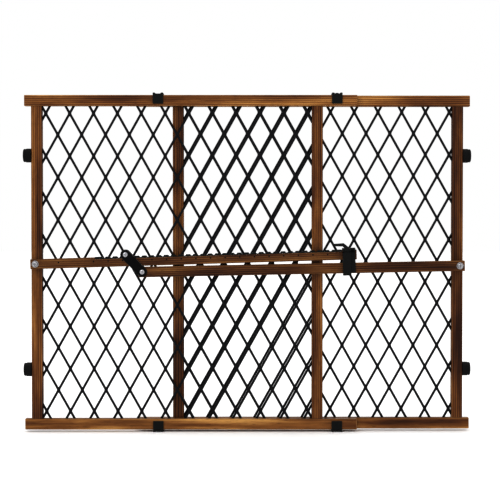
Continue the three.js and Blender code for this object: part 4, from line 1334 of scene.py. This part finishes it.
# %% Spring
coil_tree, given, outlet = open_group(
    "Wind a coil",
    "GeometryNodeTree",
    {"Turns": (NUMBER, 5.0), "Radius": (NUMBER, 0.002), "Length": (NUMBER, 0.004),
     "Wire": (NUMBER, 0.0004), "Finish": (FINISH, None)},
    {"Geometry": GEOMETRY},
)
t = coil_tree
helix = place(t, "GeometryNodeCurveSpiral", {
    "Resolution": 28, "Rotations": given["Turns"], "Start Radius": given["Radius"],
    "End Radius": given["Radius"], "Height": given["Length"]}).outputs[0]
wire = place(t, "GeometryNodeCurvePrimitiveCircle", {"Resolution": 10, "Radius": given["Wire"]},
             mode="RADIUS").outputs[0]
swept = place(t, "GeometryNodeCurveToMesh",
              {"Curve": helix, "Profile Curve": wire, "Fill Caps": True}).outputs[0]
close_tree(t, swept, given["Finish"], outlet)

low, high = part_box("latch_spring")
values = {
    "Turns": 4.6, "Radius": 2.1 * MM, "Length": high.x - low.x - 1.0 * MM, "Wire": 0.4 * MM,
    "Finish": FINISHES["black_steel"],
}
mesh = grown("latch_spring_coil", coil_tree, values)
spot = middle_of("latch_spring") - BAR_WAY.normalized() * values["Length"] / 2
finished(stood(mesh, spot, BAR_WAY), "latch_spring_coil", "notched_bar", "black_steel",
         ["latch_spring"], math.radians(80))
print("coil", len(mesh.polygons), "faces")

# %% [markdown]
# ## Link
# Two flat steel straps with round ends lie one on each side of the bars. A shouldered rivet joins
# them to the lever bar, and a pin joins their other ends and drops into a notch. Each strap is a
# pressed blank, so it is drawn as an outline with round ends and its edges are taken off slightly.

# %% Link
RIVET_AT, PIN_AT = middle_of("link_rivet"), middle_of("link_pin")
END_RADIUS = 8.6
ARC_STEPS = 24


def strap(node):
    """A flat strap with round ends, between the rivet and the pin."""
    low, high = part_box(node)
    way = PIN_AT - RIVET_AT
    way.y = 0
    heading = math.atan2(way.z, way.x)
    outline = []
    for centre, first in ((PIN_AT, heading - math.pi / 2), (RIVET_AT, heading + math.pi / 2)):
        for i in range(ARC_STEPS + 1):
            turn = first + math.pi * i / ARC_STEPS
            outline.append((centre.x + END_RADIUS * MM * math.cos(turn), low.y,
                            centre.z + END_RADIUS * MM * math.sin(turn)))
    shape = bmesh.new()
    face = shape.faces.new([shape.verts.new(spot) for spot in outline])
    made = bmesh.ops.extrude_face_region(shape, geom=[face])["geom"]
    back = [v for v in made if isinstance(v, bmesh.types.BMVert)]
    bmesh.ops.translate(shape, verts=back, vec=(0, high.y - low.y, 0))
    bmesh.ops.recalc_face_normals(shape, faces=shape.faces)
    round_off(shape, crisp_edges(shape, math.radians(60), 0), 0.5 * MM, 3)
    return finished(as_mesh(shape), f"{node}_pressed", "link", "black_steel", [node])


def rivet_profile(length, shank, head, head_rise, tail, tail_rise):
    """A rivet from its tail to its domed head, with the dimple that a rivet set leaves."""
    crown = [(head * math.cos(turn) ** 0.8, length - head_rise + head_rise * math.sin(turn))
             for turn in (math.pi / 2 * i / 8 for i in range(6))]
    return [
        (0, 0), (tail * 0.55, 0), (tail * 0.9, tail_rise * 0.4), (tail, tail_rise * 0.8),
        (tail * 0.97, tail_rise), (shank, tail_rise), (shank, length - head_rise),
        (head * 0.96, length - head_rise), *crown, (head * 0.38, length - 0.1),
        (head * 0.3, length - 0.3), (head * 0.2, length - 1.0), (0, length - 1.2),
    ]


for node in ("link_front_strap", "link_rear_strap"):
    piece = strap(node)
print("strap", len(piece.data.polygons), "faces")
for node, shank in (("link_rivet", 2.5), ("link_pin", 2.0)):
    low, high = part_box(node)
    head = (high.x - low.x) / 2 / MM
    length = (high.y - low.y) / MM
    profile = rivet_profile(length, shank, head, head_rise=2.3, tail=3.4, tail_rise=1.5)
    spot = middle_of(node)
    spot.y = high.y
    mesh = stood(as_mesh(spun(profile, 40)), spot, (0, -1, 0))
    finished(mesh, f"{node}_turned", "link", "zinc_steel", [node])
    print(node, "is", round(length, 1), "mm long")

# %% [markdown]
# ## Floor and light
# The gate stands on its lowest clips on a plain pale floor, in a plain studio with white walls and a
# brighter ceiling that lights the floor. One large lamp from the upper left gives the rails their
# soft highlights, and a weaker one from the right fills the shaded sides. White walls put a grey
# sheen on black plastic, so the scene's colours are shown with a low gamma, which keeps it black.

# %% Floor and light
FLOOR_REACH = 12.0
WALLS, CEILING = 1.0, 0.5
SHOWN_GAMMA = 0.68

floor_shape = bmesh.new()
bmesh.ops.create_grid(floor_shape, x_segments=1, y_segments=1, size=FLOOR_REACH)
floor = bpy.data.objects.new("floor", as_mesh(floor_shape))
scene.collection.objects.link(floor)
floor_finish, _, _ = open_material("floor", Base_Color=(0.92, 0.92, 0.92, 1.0), Roughness=0.9)
floor.data.materials.append(floor_finish)

world = bpy.data.worlds.new("studio")
scene.world = world
world.use_nodes = True
sky = world.node_tree
heading = place(sky, "ShaderNodeTexCoord").outputs["Generated"]
split = place(sky, "ShaderNodeSeparateXYZ", {0: heading}).outputs
above = between(sky, split["Z"], 0.35, 0.95, 0.0, CEILING)
glow = calc(sky, "ADD", WALLS, above)
sky.links.new(glow, sky.nodes["Background"].inputs["Strength"])
sky.nodes["Background"].inputs["Color"].default_value = (1.0, 1.0, 1.0, 1.0)
scene.view_settings.view_transform = "Standard"
scene.view_settings.gamma = SHOWN_GAMMA


def soft_lamp(name, spot, aim, size, power):
    """A square soft lamp that looks at a point."""
    light = bpy.data.lights.new(name, "AREA")
    light.size = size
    light.energy = power
    lamp = bpy.data.objects.new(name, light)
    lamp.location = spot
    away = Vector(spot) - Vector(aim)
    lamp.rotation_euler = away.to_track_quat("Z", "Y").to_euler()
    scene.collection.objects.link(lamp)


MIDDLE = (0, 0, 0.3)
soft_lamp("key", (-1.4, -2.2, 2.2), MIDDLE, 1.4, 20.0)
soft_lamp("fill", (1.8, -1.8, 1.0), MIDDLE, 1.6, 6.0)
print("lamps", [light.name for light in bpy.data.lights])
